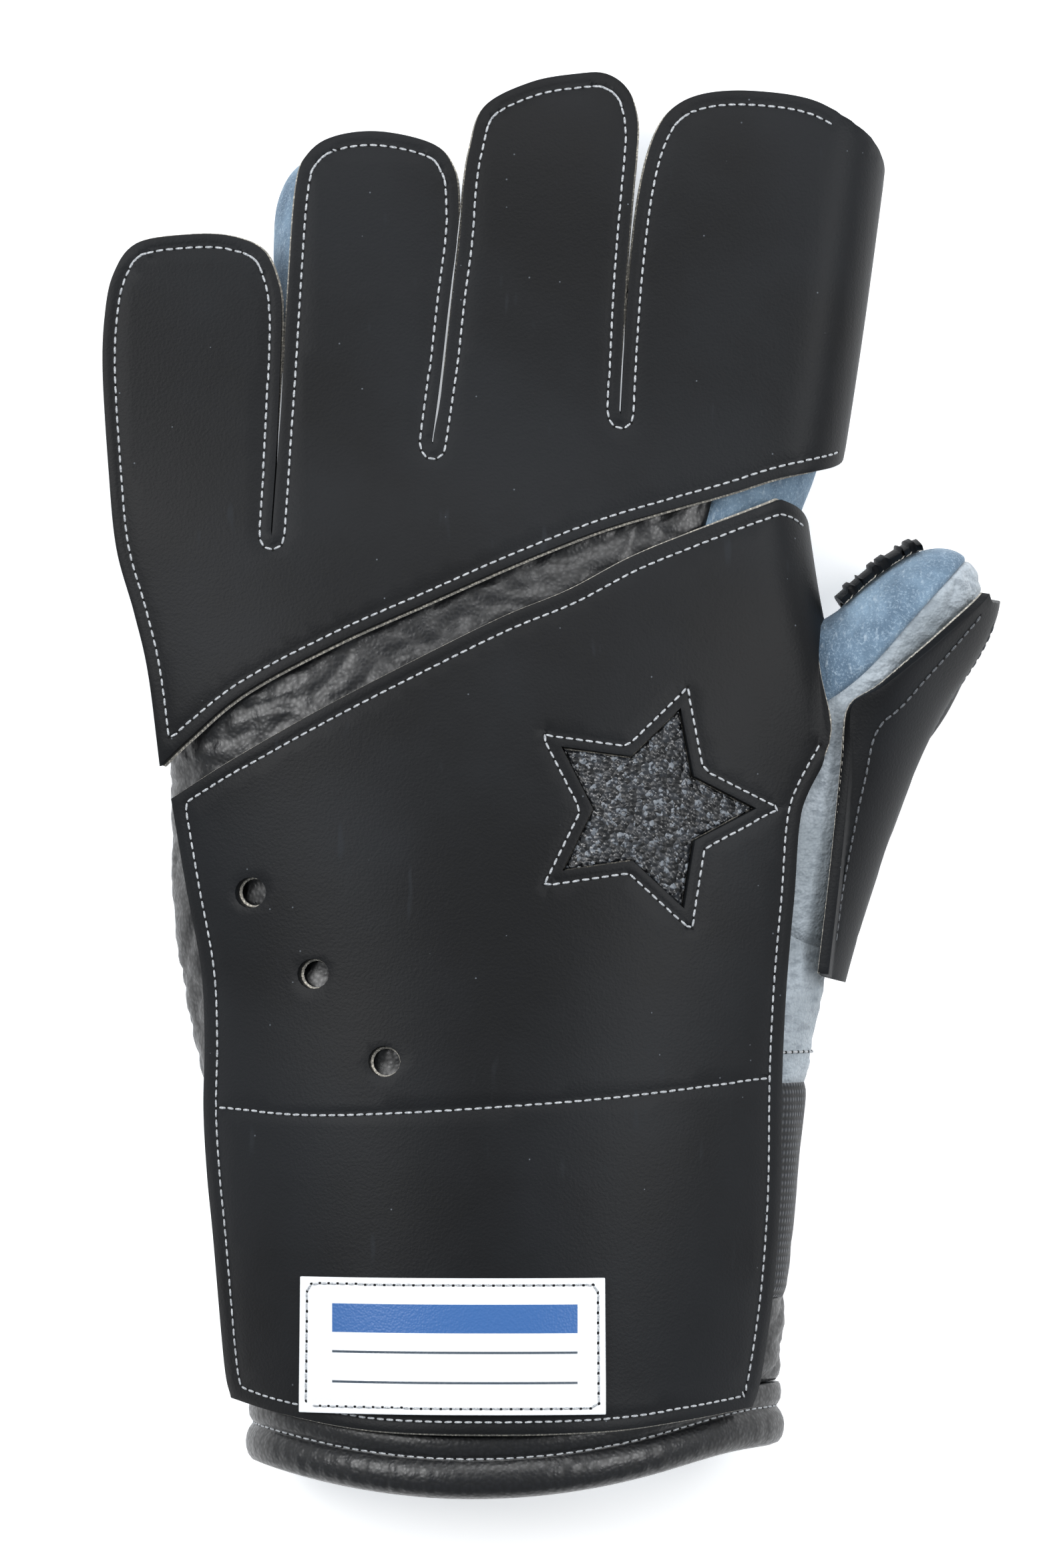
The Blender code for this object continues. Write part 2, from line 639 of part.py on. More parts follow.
def bent_sheet(name, outline, holes, side, lift, step, look, collection):
    """A sheet cut to an outline and laid on the back, still without thickness."""
    rings = [outline, *holes]
    flat, edges = [], []
    for ring in rings:
        first = len(flat)
        flat.extend(Vector(p) for p in ring)
        count = len(ring)
        edges.extend((first + k, first + (k + 1) % count) for k in range(count))
    xs = [p.x for p in outline]
    ys = [p.y for p in outline]
    margin = step * 0.35
    border = [p.copy() for p in flat]
    for x in np.arange(min(xs) + step / 2, max(xs), step):
        for y in np.arange(min(ys) + step / 2, max(ys), step):
            point = Vector((x, y))
            if min((point - q).length for q in border) > margin:
                flat.append(point)
    made = delaunay_2d_cdt(flat, edges, [], 0, 1e-7)
    points, faces = made[0], made[2]
    sheet = bmesh.new()
    corners = [sheet.verts.new(bent_point(p, side, lift)) for p in points]
    for face in faces:
        centre = sum((points[i] for i in face), Vector((0, 0))) / 3
        if inside_outline(centre, outline) and not any(inside_outline(centre, h) for h in holes):
            sheet.faces.new([corners[i] for i in face])
    loose = [vertex for vertex in sheet.verts if not vertex.link_faces]
    bmesh.ops.delete(sheet, geom=loose, context="VERTS")
    bmesh.ops.recalc_face_normals(sheet, faces=sheet.faces)
    sheet.normal_update()
    if sum(face.normal.z for face in sheet.faces) < 0:
        bmesh.ops.reverse_faces(sheet, faces=sheet.faces)
    mesh = bpy.data.meshes.new(name)
    sheet.to_mesh(mesh)
    sheet.free()
    return new_object(name, mesh, collection, look)


def lay_on(obj, support, mode, gap, thickness):
    """Seats the sheet over what it lies on, then gives it its thickness."""
    seat = obj.modifiers.new("seat", "SHRINKWRAP")
    seat.target = support
    seat.wrap_method = "NEAREST_SURFACEPOINT"
    seat.wrap_mode = mode
    seat.offset = gap
    wall = obj.modifiers.new("wall", "SOLIDIFY")
    wall.thickness = thickness
    wall.offset = 1.0
    wall.use_even_offset = True
    wall.thickness_clamp = 0.0


def thumb_sheet(name, rows, outward, collection):
    """A rubber sheet on the thumb, lofted between its near and far edge."""
    edges = []
    for side in (0, 1):
        line = [place(u, v, h * FINGER_HEIGHT) for u, v, h in (row[side] for row in rows)]
        edges.append([p for a, b in zip(line, line[1:]) for p in (a, (a + b) / 2)] + [line[-1]])
    sheet = bmesh.new()
    grid = []
    for a, b in zip(*edges):
        line = []
        for k in range(THUMB_COLUMNS + 1):
            t = k / THUMB_COLUMNS
            bulge = outward * (THUMB_PANEL_BULGE * FINGER_HEIGHT * 4 * t * (1 - t))
            line.append(sheet.verts.new(a.lerp(b, t) + bulge))
        grid.append(line)
    for line, after in zip(grid, grid[1:]):
        for k in range(THUMB_COLUMNS):
            sheet.faces.new((line[k], line[k + 1], after[k + 1], after[k]))
    bmesh.ops.recalc_face_normals(sheet, faces=sheet.faces)
    sheet.normal_update()
    if sum(face.normal.dot(outward) for face in sheet.faces) < 0:
        bmesh.ops.reverse_faces(sheet, faces=sheet.faces)
    mesh = bpy.data.meshes.new(name)
    sheet.to_mesh(mesh)
    sheet.free()
    return new_object(name, mesh, collection, RUBBER_BLACK)


# Padded rim of the cuff


def cuff_loop(surface):
    """The cuff's open edge, in order, as (point, outward normal)."""
    whole = bmesh.new()
    whole.from_mesh(surface)
    whole.normal_update()
    border = [edge for edge in whole.edges if len(edge.link_faces) == 1]
    mates = {}
    for edge in border:
        a, b = edge.verts
        mates.setdefault(a, []).append(b)
        mates.setdefault(b, []).append(a)
    start = max(mates, key=lambda vertex: vertex.co.x)
    loop, before = [start], None
    while True:
        following = [v for v in mates[loop[-1]] if v is not before]
        before = loop[-1]
        if following[0] is start or (len(loop) > 2 and start in following):
            break
        loop.append(following[0])
    made = [(vertex.co.copy(), vertex.normal.copy()) for vertex in loop]
    whole.free()
    return made


RIM_PROFILE = (
    (0.00, 0.00), (0.30, 0.02), (0.38, -1.00), (0.50, 0.35), (0.72, 0.75), (0.90, 0.20),
)


def rim_piece(name, loop, upper, look, collection):
    """One half of the padded roll at the cuff's end: the back's, or the palm's."""
    count = len(loop)
    ring = [i for i, (point, normal) in enumerate(loop) if (point.z >= RIM_SPLIT) == upper]
    start = next(i for i in ring if (i - 1) % count not in ring)
    order = [(start + k) % count for k in range(len(ring))]
    stations = [loop[index] for index in order]
    for end, outside in ((0, order[0] - 1), (-1, order[-1] + 1)):
        (point, normal), (beyond, turned) = stations[end], loop[outside % count]
        share = (point.z - RIM_SPLIT) / (point.z - beyond.z)
        share -= SEAM_GAP / 2 / (point - beyond).length
        station = (point.lerp(beyond, share), normal.lerp(turned, share))
        stations.insert(0 if end == 0 else len(stations), station)
    sections = []
    for point, normal in stations:
        flat = Vector((normal.x, 0, normal.z)).normalized()
        section = []
        for axial, radial in RIM_PROFILE:
            depth = RIM_SEAM_DEPTH * radial
            at = point + Vector((0, -SEAM_GAP - axial * RIM_LENGTH, 0)) + flat * depth
            section.append(at)
        for axial, share in ((1.00, 0.35), (1.00, 0.65), (0.85, 1.00), (0.00, 1.00)):
            at = point + Vector((0, -SEAM_GAP - axial * RIM_LENGTH, 0))
            section.append(at - flat * (share * RIM_THICKNESS))
        for at in section:
            at.z = max(at.z, 0.0)
        sections.append(section)
    solid = bmesh.new()
    rings = [[solid.verts.new(p) for p in section] for section in sections]
    size = len(rings[0])
    for a, b in zip(rings, rings[1:]):
        for k in range(size):
            j = (k + 1) % size
            solid.faces.new((a[k], a[j], b[j], b[k]))
    solid.faces.new(rings[0])
    solid.faces.new(list(reversed(rings[-1])))
    bmesh.ops.recalc_face_normals(solid, faces=solid.faces)
    mesh = bpy.data.meshes.new(name)
    solid.to_mesh(mesh)
    solid.free()
    return new_object(name, mesh, collection, look)


def centre_on_floor(collection, form):
    """Moves the whole glove so that its middle stands over the origin and its lowest point at zero."""
    corners = []
    for obj in collection.objects:
        mesh = evaluated_mesh(obj)
        corners.extend(vertex.co.copy() for vertex in mesh.vertices)
        bpy.data.meshes.remove(mesh)
    low = Vector(min(point[axis] for point in corners) for axis in range(3))
    high = Vector(max(point[axis] for point in corners) for axis in range(3))
    move = Vector(((low.x + high.x) / -2, (low.y + high.y) / -2, -low.z))
    for obj in [*collection.objects, form]:
        for vertex in obj.data.vertices:
            vertex.co += move


def main():
    clear_scene()
    helpers = new_collection("helpers")
    glove = new_collection("shooting_glove")
    form = glove_form(helpers)
    surface = evaluated_mesh(form)
    for label in PIECES:
        wall = ELASTIC_WALL if label == "wrist_elastic" else LEATHER_WALL
        sewn_piece(surface, label, wall, glove)

    loop = cuff_loop(surface)
    rim_piece("cuff_rim_back", loop, True, LEATHER_BLACK, glove)
    rim_piece("cuff_rim_palm", loop, False, SUEDE_BLUE, glove)

    finger_outline = flat_outline(FINGER_PANEL, OUTLINE_STEP)
    fingers = bent_sheet("finger_panel", finger_outline, [], FINGER_PANEL_SIDE, SEAT_GAP,
                         SHEET_STEP, RUBBER_BLACK, glove)
    lay_on(fingers, form, "OUTSIDE", SEAT_GAP, RUBBER)
    hand_outline = flat_outline(HAND_PANEL, OUTLINE_STEP)
    openings = [star_outline(STAR_RADIUS)] + [hole_outline(*spot) for spot in HOLE_PLACES]
    hand = bent_sheet("hand_panel", hand_outline, openings, HAND_PANEL_SIDE, SEAT_GAP,
                      SHEET_STEP, RUBBER_BLACK, glove)
    lay_on(hand, form, "OUTSIDE", SEAT_GAP, RUBBER)
    grip_outline = star_outline(STAR_RADIUS - GRIP_CLEARANCE / STAR_WAIST)
    grip = bent_sheet("star_grip", grip_outline, [], None, SEAT_GAP, SHEET_STEP, GRIT_BLACK, glove)
    lay_on(grip, form, "OUTSIDE", SEAT_GAP, GRIP_THICKNESS)
    patch_lift = 3 * RUBBER
    patch = bent_sheet("label_patch", patch_outline(), [], None, patch_lift, PATCH_STEP,
                       PATCH_WHITE, glove)
    lay_on(patch, hand, "ABOVE_SURFACE", SEAT_GAP, PATCH_THICKNESS)

    ahead, width, rise = thumb_axes()
    outer = thumb_sheet("thumb_outer_panel", THUMB_OUTER_PANEL, rise, glove)
    lay_on(outer, form, "OUTSIDE", THUMB_SEAT_GAP, RUBBER)
    inner = thumb_sheet("thumb_inner_panel", THUMB_INNER_PANEL, width, glove)
    lay_on(inner, form, "ABOVE_SURFACE", SEAT_GAP, RUBBER)
    bpy.data.meshes.remove(surface)
    centre_on_floor(glove, form)


main()
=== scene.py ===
import math
import random

import bmesh
import bpy
import numpy as np
from mathutils import Matrix, Vector, noise
from mathutils.bvhtree import BVHTree
from mathutils.geometry import delaunay_2d_cdt


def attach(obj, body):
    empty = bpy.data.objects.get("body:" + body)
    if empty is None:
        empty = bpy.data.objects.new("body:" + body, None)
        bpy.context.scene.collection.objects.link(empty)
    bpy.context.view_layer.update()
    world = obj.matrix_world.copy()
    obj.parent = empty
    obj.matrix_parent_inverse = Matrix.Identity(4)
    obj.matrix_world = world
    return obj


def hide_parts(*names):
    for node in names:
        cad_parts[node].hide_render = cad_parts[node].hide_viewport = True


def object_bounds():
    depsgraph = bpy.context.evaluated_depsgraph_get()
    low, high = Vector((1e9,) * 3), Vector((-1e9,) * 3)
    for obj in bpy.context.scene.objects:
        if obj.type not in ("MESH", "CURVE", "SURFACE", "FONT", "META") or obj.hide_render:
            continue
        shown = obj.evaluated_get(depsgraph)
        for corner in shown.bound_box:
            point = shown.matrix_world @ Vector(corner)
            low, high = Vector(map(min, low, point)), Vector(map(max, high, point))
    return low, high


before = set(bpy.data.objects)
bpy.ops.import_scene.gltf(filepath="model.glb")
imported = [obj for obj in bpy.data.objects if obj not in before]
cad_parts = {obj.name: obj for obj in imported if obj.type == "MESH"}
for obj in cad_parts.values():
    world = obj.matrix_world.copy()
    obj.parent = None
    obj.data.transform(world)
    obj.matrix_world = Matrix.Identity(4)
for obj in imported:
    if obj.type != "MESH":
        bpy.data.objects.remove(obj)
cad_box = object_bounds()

random.seed(11)


# Sizes, in metres, and the tables of the glove's shape, as in the part's source
GLOVE_LENGTH = 0.300
FINGER_SPAN = 0.1627
FINGER_HEIGHT = 0.030
CUFF_HEIGHT = 0.058
HAND_TUCK = 0.004
FINGER_TUCK = 0.003
TIP_REACH = 0.004
WEB_REACH = 0.002
LEATHER_WALL = 0.0025
ELASTIC_WALL = 0.0016
SEAM_GAP = 0.0003
SEAT_GAP = 0.0008
THUMB_SEAT_GAP = 0.0016

RUBBER = 0.0024
SIDE_RADIUS = 0.012
PATCH_STEP = 0.0080
OUTLINE_STEP = 0.0011
EDGE_STEP = 0.0012

THUMB_LENGTH = 0.0507
THUMB_WIDTH = 0.0275
THUMB_THICKNESS = 0.0215
THUMB_ANGLE = math.radians(48.4)
THUMB_ROLL = math.radians(52)
THUMB_PLACE = (0.339, 0.033)
THUMB_ROOT_HEIGHT = 0.0168
THUMB_TIP_HEIGHT = 0.0155

STAR_PLACE = (0.127, -0.016)
STAR_RADIUS = 0.0220
STAR_WAIST = 0.52
STAR_TURN = math.radians(72.4)
STAR_SEAM_SHARE = 1.22
GRIP_THICKNESS = 0.0014
GRIP_CLEARANCE = 0.0007

HOLE_RADIUS = 0.0032
HOLE_PLACES = ((-0.373, -0.074), (-0.293, -0.131), (-0.204, -0.192))

PATCH_WIDTH = 0.0603
PATCH_HEIGHT = 0.0285
PATCH_THICKNESS = 0.0008
PATCH_PLACE = (-0.118, -0.389)

RIM_LENGTH = 0.0135
RIM_THICKNESS = 0.0070
RIM_SEAM_DEPTH = 0.0010
RIM_SPLIT = 0.0135

# Height of the leather back: (along, share of the way from FINGER_HEIGHT to CUFF_HEIGHT, drop at the
# sides as a share of the height there)
BACK_HEIGHT = (
    (-0.50, 1.00, 0.42),
    (-0.28, 0.95, 0.40),
    (-0.12, 0.80, 0.36),
    (0.04, 0.60, 0.30),
    (0.16, 0.36, 0.24),
    (0.25, 0.15, 0.19),
    (0.35, 0.00, 0.16),
    (0.45, -0.16, 0.14),
    (0.52, -0.34, 0.14),
)
# Rows of the hand from the cuff to the knuckles: left (across, along), right (across, along), how far the
# middle stands towards the cuff (share of length), bulge of the left and right side and drop of the
# right shoulder (shares of FINGER_HEIGHT)
HAND_ROWS = (
    ((-0.380, -0.430), (0.253, -0.419), 0.026, 0.06, 0.44, 0.00),
    ((-0.398, -0.367), (0.267, -0.362), 0.012, 0.08, 0.40, 0.00),
    ((-0.411, -0.292), (0.278, -0.292), 0.000, 0.08, 0.42, 0.00),
    ((-0.421, -0.217), (0.282, -0.207), 0.000, 0.22, 0.50, 0.00),
    ((-0.422, -0.142), (0.290, -0.133), 0.000, 0.46, 0.60, 0.00),
    ((-0.444, -0.071), (0.315, 0.064), 0.000, 0.44, 0.30, 0.20),
    ((-0.466, -0.006), (0.318, 0.132), 0.000, 0.20, 0.12, 0.24),
    ((-0.489, 0.043), (0.312, 0.183), 0.000, 0.08, 0.08, 0.18),
    ((-0.513, 0.114), (0.346, 0.218), 0.000, 0.06, 0.08, 0.18),
)
THUMB_ROWS = (4, 5, 6)
ELASTIC_ROWS = (1, 2)
# Where the fingers leave the hand: outer side, then middle and slit of each finger in turn
FINGER_BASE = (
    (-0.548, 0.186), (-0.448, 0.172), (-0.354, 0.165), (-0.253, 0.193), (-0.151, 0.227),
    (-0.029, 0.239), (0.095, 0.249), (0.228, 0.250), (0.362, 0.252),
)
FINGER_NAMES = ("little_finger", "ring_finger", "middle_finger", "index_finger")
# Rings of each finger: along, left across, right across, bulge of the left and right side (shares of
# FINGER_HEIGHT). The last ring of each is the one before the rounded tip.
FINGER_RINGS = {
    "little_finger": (
        (0.225, -0.553, -0.367, 0.06, 0.05),
        (0.290, -0.561, -0.360, 0.06, 0.05),
        (0.340, -0.557, -0.358, 0.06, 0.05),
        (0.371, -0.525, -0.382, 0.03, 0.03),
    ),
    "ring_finger": (
        (0.260, -0.332, -0.164, 0.05, 0.04),
        (0.340, -0.326, -0.141, 0.24, 0.03),
        (0.410, -0.318, -0.131, 0.38, 0.03),
        (0.448, -0.283, -0.160, 0.34, 0.02),
    ),
    "middle_finger": (
        (0.285, -0.120, 0.082, 0.04, 0.04),
        (0.370, -0.107, 0.090, 0.03, 0.07),
        (0.455, -0.084, 0.104, 0.03, 0.24),
        (0.489, -0.040, 0.078, 0.02, 0.20),
    ),
    "index_finger": (
        (0.300, 0.111, 0.376, 0.05, 0.05),
        (0.375, 0.126, 0.393, 0.05, 0.05),
        (0.440, 0.150, 0.402, 0.05, 0.05),
        (0.470, 0.190, 0.340, 0.03, 0.03),
    ),
}
INDEX_SHOULDER_DROP = 0.18
# Rings of the thumb: share of its length, width share, thickness share
THUMB_RINGS = ((0.34, 0.92, 1.00), (0.64, 0.90, 0.88), (0.87, 0.70, 0.72), (0.98, 0.44, 0.44))

# Outlines of the rubber sheets, laid flat: smooth runs that meet at corners
FINGER_PANEL = (
    ((-0.491, 0.015), (-0.508, 0.080), (-0.527, 0.122), (-0.551, 0.167), (-0.563, 0.222),
     (-0.572, 0.289), (-0.570, 0.330), (-0.559, 0.360), (-0.530, 0.381), (-0.465, 0.387),
     (-0.409, 0.386), (-0.366, 0.376), (-0.347, 0.354), (-0.342, 0.331), (-0.344, 0.281),
     (-0.348, 0.228), (-0.3535, 0.174)),
    ((-0.3520, 0.174), (-0.346, 0.228), (-0.340, 0.281), (-0.334, 0.343), (-0.324, 0.420),
     (-0.308, 0.444), (-0.273, 0.456), (-0.214, 0.459), (-0.146, 0.450), (-0.120, 0.433),
     (-0.114, 0.411), (-0.116, 0.383), (-0.1255, 0.343), (-0.1365, 0.289), (-0.1490, 0.237)),
    ((-0.1465, 0.237), (-0.1325, 0.289), (-0.1215, 0.343), (-0.112, 0.383), (-0.107, 0.421),
     (-0.099, 0.448), (-0.080, 0.477), (-0.020, 0.494), (0.040, 0.500), (0.077, 0.500),
     (0.105, 0.489), (0.117, 0.468), (0.116, 0.445), (0.111, 0.416), (0.103, 0.364),
     (0.098, 0.317), (0.0930, 0.259)),
    ((0.0950, 0.259), (0.101, 0.317), (0.108, 0.364), (0.120, 0.416), (0.137, 0.453),
     (0.162, 0.475), (0.204, 0.486), (0.270, 0.488), (0.349, 0.481), (0.409, 0.460),
     (0.450, 0.440), (0.498, 0.425)),
    ((0.498, 0.425), (0.480, 0.327), (0.458, 0.241)),
    ((0.458, 0.241), (0.407, 0.232), (0.373, 0.226), (0.297, 0.216), (0.234, 0.205),
     (0.157, 0.193), (0.068, 0.178), (-0.038, 0.155), (-0.154, 0.127), (-0.269, 0.099),
     (-0.385, 0.065), (-0.456, 0.033), (-0.491, 0.015)),
)
HAND_PANEL = (
    ((-0.394, -0.428), (-0.403, -0.404), (-0.418, -0.315), (-0.426, -0.272), (-0.431, -0.226),
     (-0.430, -0.178), (-0.435, -0.128), (-0.455, -0.071), (-0.469, -0.029), (-0.476, -0.008)),
    ((-0.476, -0.008), (-0.404, 0.017), (-0.288, 0.053), (-0.172, 0.086), (-0.057, 0.117),
     (0.027, 0.136), (0.106, 0.159), (0.189, 0.178), (0.296, 0.201)),
    ((0.296, 0.201), (0.325, 0.195), (0.350, 0.187), (0.372, 0.177)),
    ((0.372, 0.177), (0.371, 0.139), (0.374, 0.102), (0.379, 0.072), (0.376, 0.050),
     (0.364, 0.031), (0.329, -0.004), (0.317, -0.027), (0.310, -0.074), (0.304, -0.106),
     (0.297, -0.151), (0.292, -0.207), (0.290, -0.273), (0.286, -0.315), (0.278, -0.362),
     (0.262, -0.418), (0.252, -0.435)),
    ((0.252, -0.435), (0.170, -0.442), (0.075, -0.448), (-0.063, -0.450), (-0.216, -0.448),
     (-0.332, -0.438), (-0.394, -0.428)),
)
# Outermost reach of each sheet where it turns down round the side: (along, across)
FINGER_PANEL_SIDE = ((0.20, 0.356), (0.24, 0.364), (0.34, 0.388), (0.445, 0.413), (0.50, 0.426))
HAND_PANEL_SIDE = (
    (-0.50, 0.70), (-0.10, 0.55), (-0.03, 0.45), (0.03, 0.400), (0.069, 0.374), (0.107, 0.354),
    (0.134, 0.340), (0.163, 0.329), (0.195, 0.318), (0.23, 0.310),
)
# Thumb sheets: rows from the thumb's tip, each with a near edge and a far edge as (across, along,
# share of FINGER_HEIGHT)
THUMB_OUTER_PANEL = (
    ((0.564, 0.137, 0.66), (0.564, 0.133, 0.44)),
    ((0.524, 0.120, 0.80), (0.556, 0.109, 0.36)),
    ((0.468, 0.093, 0.93), (0.538, 0.085, 0.29)),
    ((0.425, 0.071, 1.00), (0.511, 0.055, 0.26)),
    ((0.389, 0.055, 1.04), (0.478, 0.029, 0.26)),
    ((0.381, 0.018, 1.04), (0.442, 0.000, 0.26)),
    ((0.373, -0.025, 1.04), (0.407, -0.031, 0.26)),
    ((0.364, -0.071, 1.03), (0.376, -0.071, 0.26)),
    ((0.351, -0.131, 1.00), (0.352, -0.131, 0.28)),
)
THUMB_INNER_PANEL = (
    ((0.489, 0.169, 0.72), (0.489, 0.163, 0.22)),
    ((0.470, 0.174, 0.76), (0.464, 0.166, 0.22)),
    ((0.413, 0.158, 0.82), (0.409, 0.150, 0.22)),
    ((0.366, 0.141, 0.86), (0.372, 0.136, 0.26)),
)
THUMB_PANEL_BULGE = 0.06
THUMB_COLUMNS = 18
THUMB_LINES = 64

PIECES = ("back_leather", "palm_suede") + FINGER_NAMES + (
    "thumb_suede", "thumb_leather", "side_leather", "wrist_elastic",
)
# From the tables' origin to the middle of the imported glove
SHIFT = Vector((-0.001217, -0.0007, 0))
# The pale knit under the rubber sheets: thickness, and how far it shows past their cut edges
BACKING = 0.0005
BACKING_REACH = 0.0004
# Stitches: distance apart, (length, width, height) of thread and of the dark disc of painted shade at
# each needle hole, how far each stands over the sheet and how far a stitch may turn from its line
STITCH_PITCH = 0.0021
STITCH_SIZE = (0.00165, 0.00052, 0.00042)
NEEDLE_HOLE_SHADE_SIZE = (0.0008, 0.0007, 0.00008)
STITCH_RISE = 0.00006
HOLE_SHADE_RISE = 0.00002
STITCH_SWAY = 0.07
SEAM_PRESS = 0.0003
# Stitch lines: distance inside each outline, and how far across they are still sewn
FINGER_SEAM = 0.0025
HAND_SEAM = 0.0026
LABEL_SEAM = 0.0014
FINGER_SEAM_REACH = FINGER_PANEL_SIDE[2][1] - 0.01
HAND_SEAM_REACH = 0.345
THUMB_SEAM_COLUMNS = (4, 16)
THUMB_SEAM_SPAN = slice(3, 60)
PATCH_MIDDLE = (PATCH_PLACE[0] * FINGER_SPAN + SHIFT.x, PATCH_PLACE[1] * GLOVE_LENGTH + SHIFT.y)
# How far a leather edge is tucked in at its seam, ring by ring of points from the edge
TUCK = (0.0009, 0.00035, 0.00012, 0.00003, 0.0)
# Creases of each piece: depth and size in metres, and how much closer they run along the glove
WRINKLES = {
    "back_leather": (0.0007, 0.0085, 1.6),
    "side_leather": (0.0008, 0.0060, 1.3),
    "thumb_leather": (0.0006, 0.0060, 1.3),
    "wrist_elastic": (0.0003, 0.0100, 0.6),
}
# The stitched line across the wrist: (across, along)
WRIST_SEAM = (
    (-0.411, -0.225), (-0.303, -0.229), (-0.187, -0.227), (-0.071, -0.223), (0.070, -0.217),
    (0.216, -0.208), (0.280, -0.204),
)
# The stitched seam between the side leather and the elastic: (across, along, height)
SIDE_SEAM = (
    (0.288, -0.188, 0.034), (0.318, -0.187, 0.028), (0.334, -0.186, 0.018), (0.330, -0.186, 0.009),
)
# Section of the padded roll: outside as (share of RIM_LENGTH, share of RIM_SEAM_DEPTH), the number of
# its stitched point, and inside as (share of RIM_LENGTH, share of RIM_THICKNESS)
RIM_OUTSIDE = (
    (0.00, -0.2), (0.04, 0.15), (0.14, 0.35), (0.26, 0.20), (0.33, -0.30), (0.37, -0.75),
    (0.41, -0.30), (0.47, 0.25), (0.56, 0.75), (0.66, 0.95), (0.76, 0.85), (0.86, 0.45),
    (0.94, -0.35),
)
RIM_STITCH = 5
RIM_INSIDE = (
    (0.99, 0.28), (1.0, 0.5), (0.97, 0.75), (0.88, 0.95), (0.6, 1.0), (0.3, 1.0), (0.0, 0.95),
)


# Materials: shader maths as plain expressions


class Value:
    """A shader socket that takes part in plain arithmetic."""

    def __init__(self, look, socket):
        self.look = look
        self.socket = socket

    def math(self, operation, first, second):
        sockets = {0: first, 1: second}
        return self.look.node("ShaderNodeMath", {"operation": operation}, sockets)

    def __add__(self, other):
        return self.math("ADD", self, other)

    def __radd__(self, other):
        return self.math("ADD", other, self)

    def __sub__(self, other):
        return self.math("SUBTRACT", self, other)

    def __rsub__(self, other):
        return self.math("SUBTRACT", other, self)

    def __mul__(self, other):
        return self.math("MULTIPLY", self, other)

    def __rmul__(self, other):
        return self.math("MULTIPLY", other, self)

    def __pow__(self, other):
        return self.math("POWER", self, other)

    def __gt__(self, other):
        return self.math("GREATER_THAN", self, other)

    def __lt__(self, other):
        return self.math("LESS_THAN", self, other)

    def sine(self):
        return self.look.node("ShaderNodeMath", {"operation": "SINE"}, {0: self})

    def least(self, other):
        return self.math("MINIMUM", self, other)

    def fade(self, low, high):
        """0 below low, 1 above high and smooth between."""
        settings = {"interpolation_type": "SMOOTHSTEP"}
        sockets = {"Value": self, "From Min": low, "From Max": high}
        return self.look.node("ShaderNodeMapRange", settings, sockets)


class Look:
    """One material with a Principled shader and the nodes that feed it."""

    def __init__(self, name, roughness, **constants):
        self.material = bpy.data.materials.new(name)
        self.material.use_nodes = True
        self.tree = self.material.node_tree
        self.shader = self.tree.nodes["Principled BSDF"]
        self.shader.inputs["Roughness"].default_value = roughness
        for socket, value in constants.items():
            self.shader.inputs[socket.replace("_", " ")].default_value = value

    def node(self, kind, settings, sockets, output=0):
        node = self.tree.nodes.new(kind)
        for key, value in settings.items():
            setattr(node, key, value)
        for key, value in sockets.items():
            self.feed(node.inputs[key], value)
        return Value(self, node.outputs[output])

    def feed(self, socket, value):
        if isinstance(value, Value):
            self.tree.links.new(value.socket, socket)
        else:
            socket.default_value = value

    def set(self, socket, value):
        self.feed(self.shader.inputs[socket], value)

    def place(self, stretch=(1, 1, 1)):
        """The point on the piece, in metres times stretch."""
        point = self.node("ShaderNodeTexCoord", {}, {}, "Object")
        return self.vector("MULTIPLY", point, stretch)

    def vector(self, operation, first, second):
        return self.node("ShaderNodeVectorMath", {"operation": operation}, {0: first, 1: second})

    def axis(self, point, axis):
        return self.node("ShaderNodeSeparateXYZ", {}, {0: point}, axis)

    def cloud(self, point, size, detail=3.0, roughness=0.5):
        """Soft noise from 0 to 1 with lumps of this size in metres."""
        sockets = {"Vector": point, "Scale": 1 / size, "Detail": detail, "Roughness": roughness}
        return self.node("ShaderNodeTexNoise", {}, sockets)

    def cells(self, point, size, feature="F1", smooth=0.0):
        """Distance within a pattern of cells of this size in metres."""
        sockets = {"Vector": point, "Scale": 1 / size}
        if feature == "SMOOTH_F1":
            sockets["Smoothness"] = smooth
        return self.node("ShaderNodeTexVoronoi", {"feature": feature}, sockets)

    def cell_tint(self, point, size):
        """A random value from 0 to 1 for each cell."""
        colour = self.node("ShaderNodeTexVoronoi", {}, {"Vector": point, "Scale": 1 / size}, "Color")
        return self.node("ShaderNodeSeparateColor", {}, {0: colour}, 0)

    def mix(self, share, first, second):
        sockets = {"Factor": share, 6: first, 7: second}
        return self.node("ShaderNodeMix", {"data_type": "RGBA"}, sockets, 2)

    def relief(self, height, depth):
        """Bumps of the given depth in metres from a height of 0 to 1."""
        sockets = {"Height": height, "Distance": depth, "Strength": 1.0}
        self.set("Normal", self.node("ShaderNodeBump", {}, sockets))


def rgb(text):
    """A colour from its hexadecimal screen value."""
    shares = [int(text[k:k + 2], 16) / 255 for k in (0, 2, 4)]
    linear = [s / 12.92 if s <= 0.04045 else ((s + 0.055) / 1.055) ** 2.4 for s in shares]
    return (*linear, 1.0)


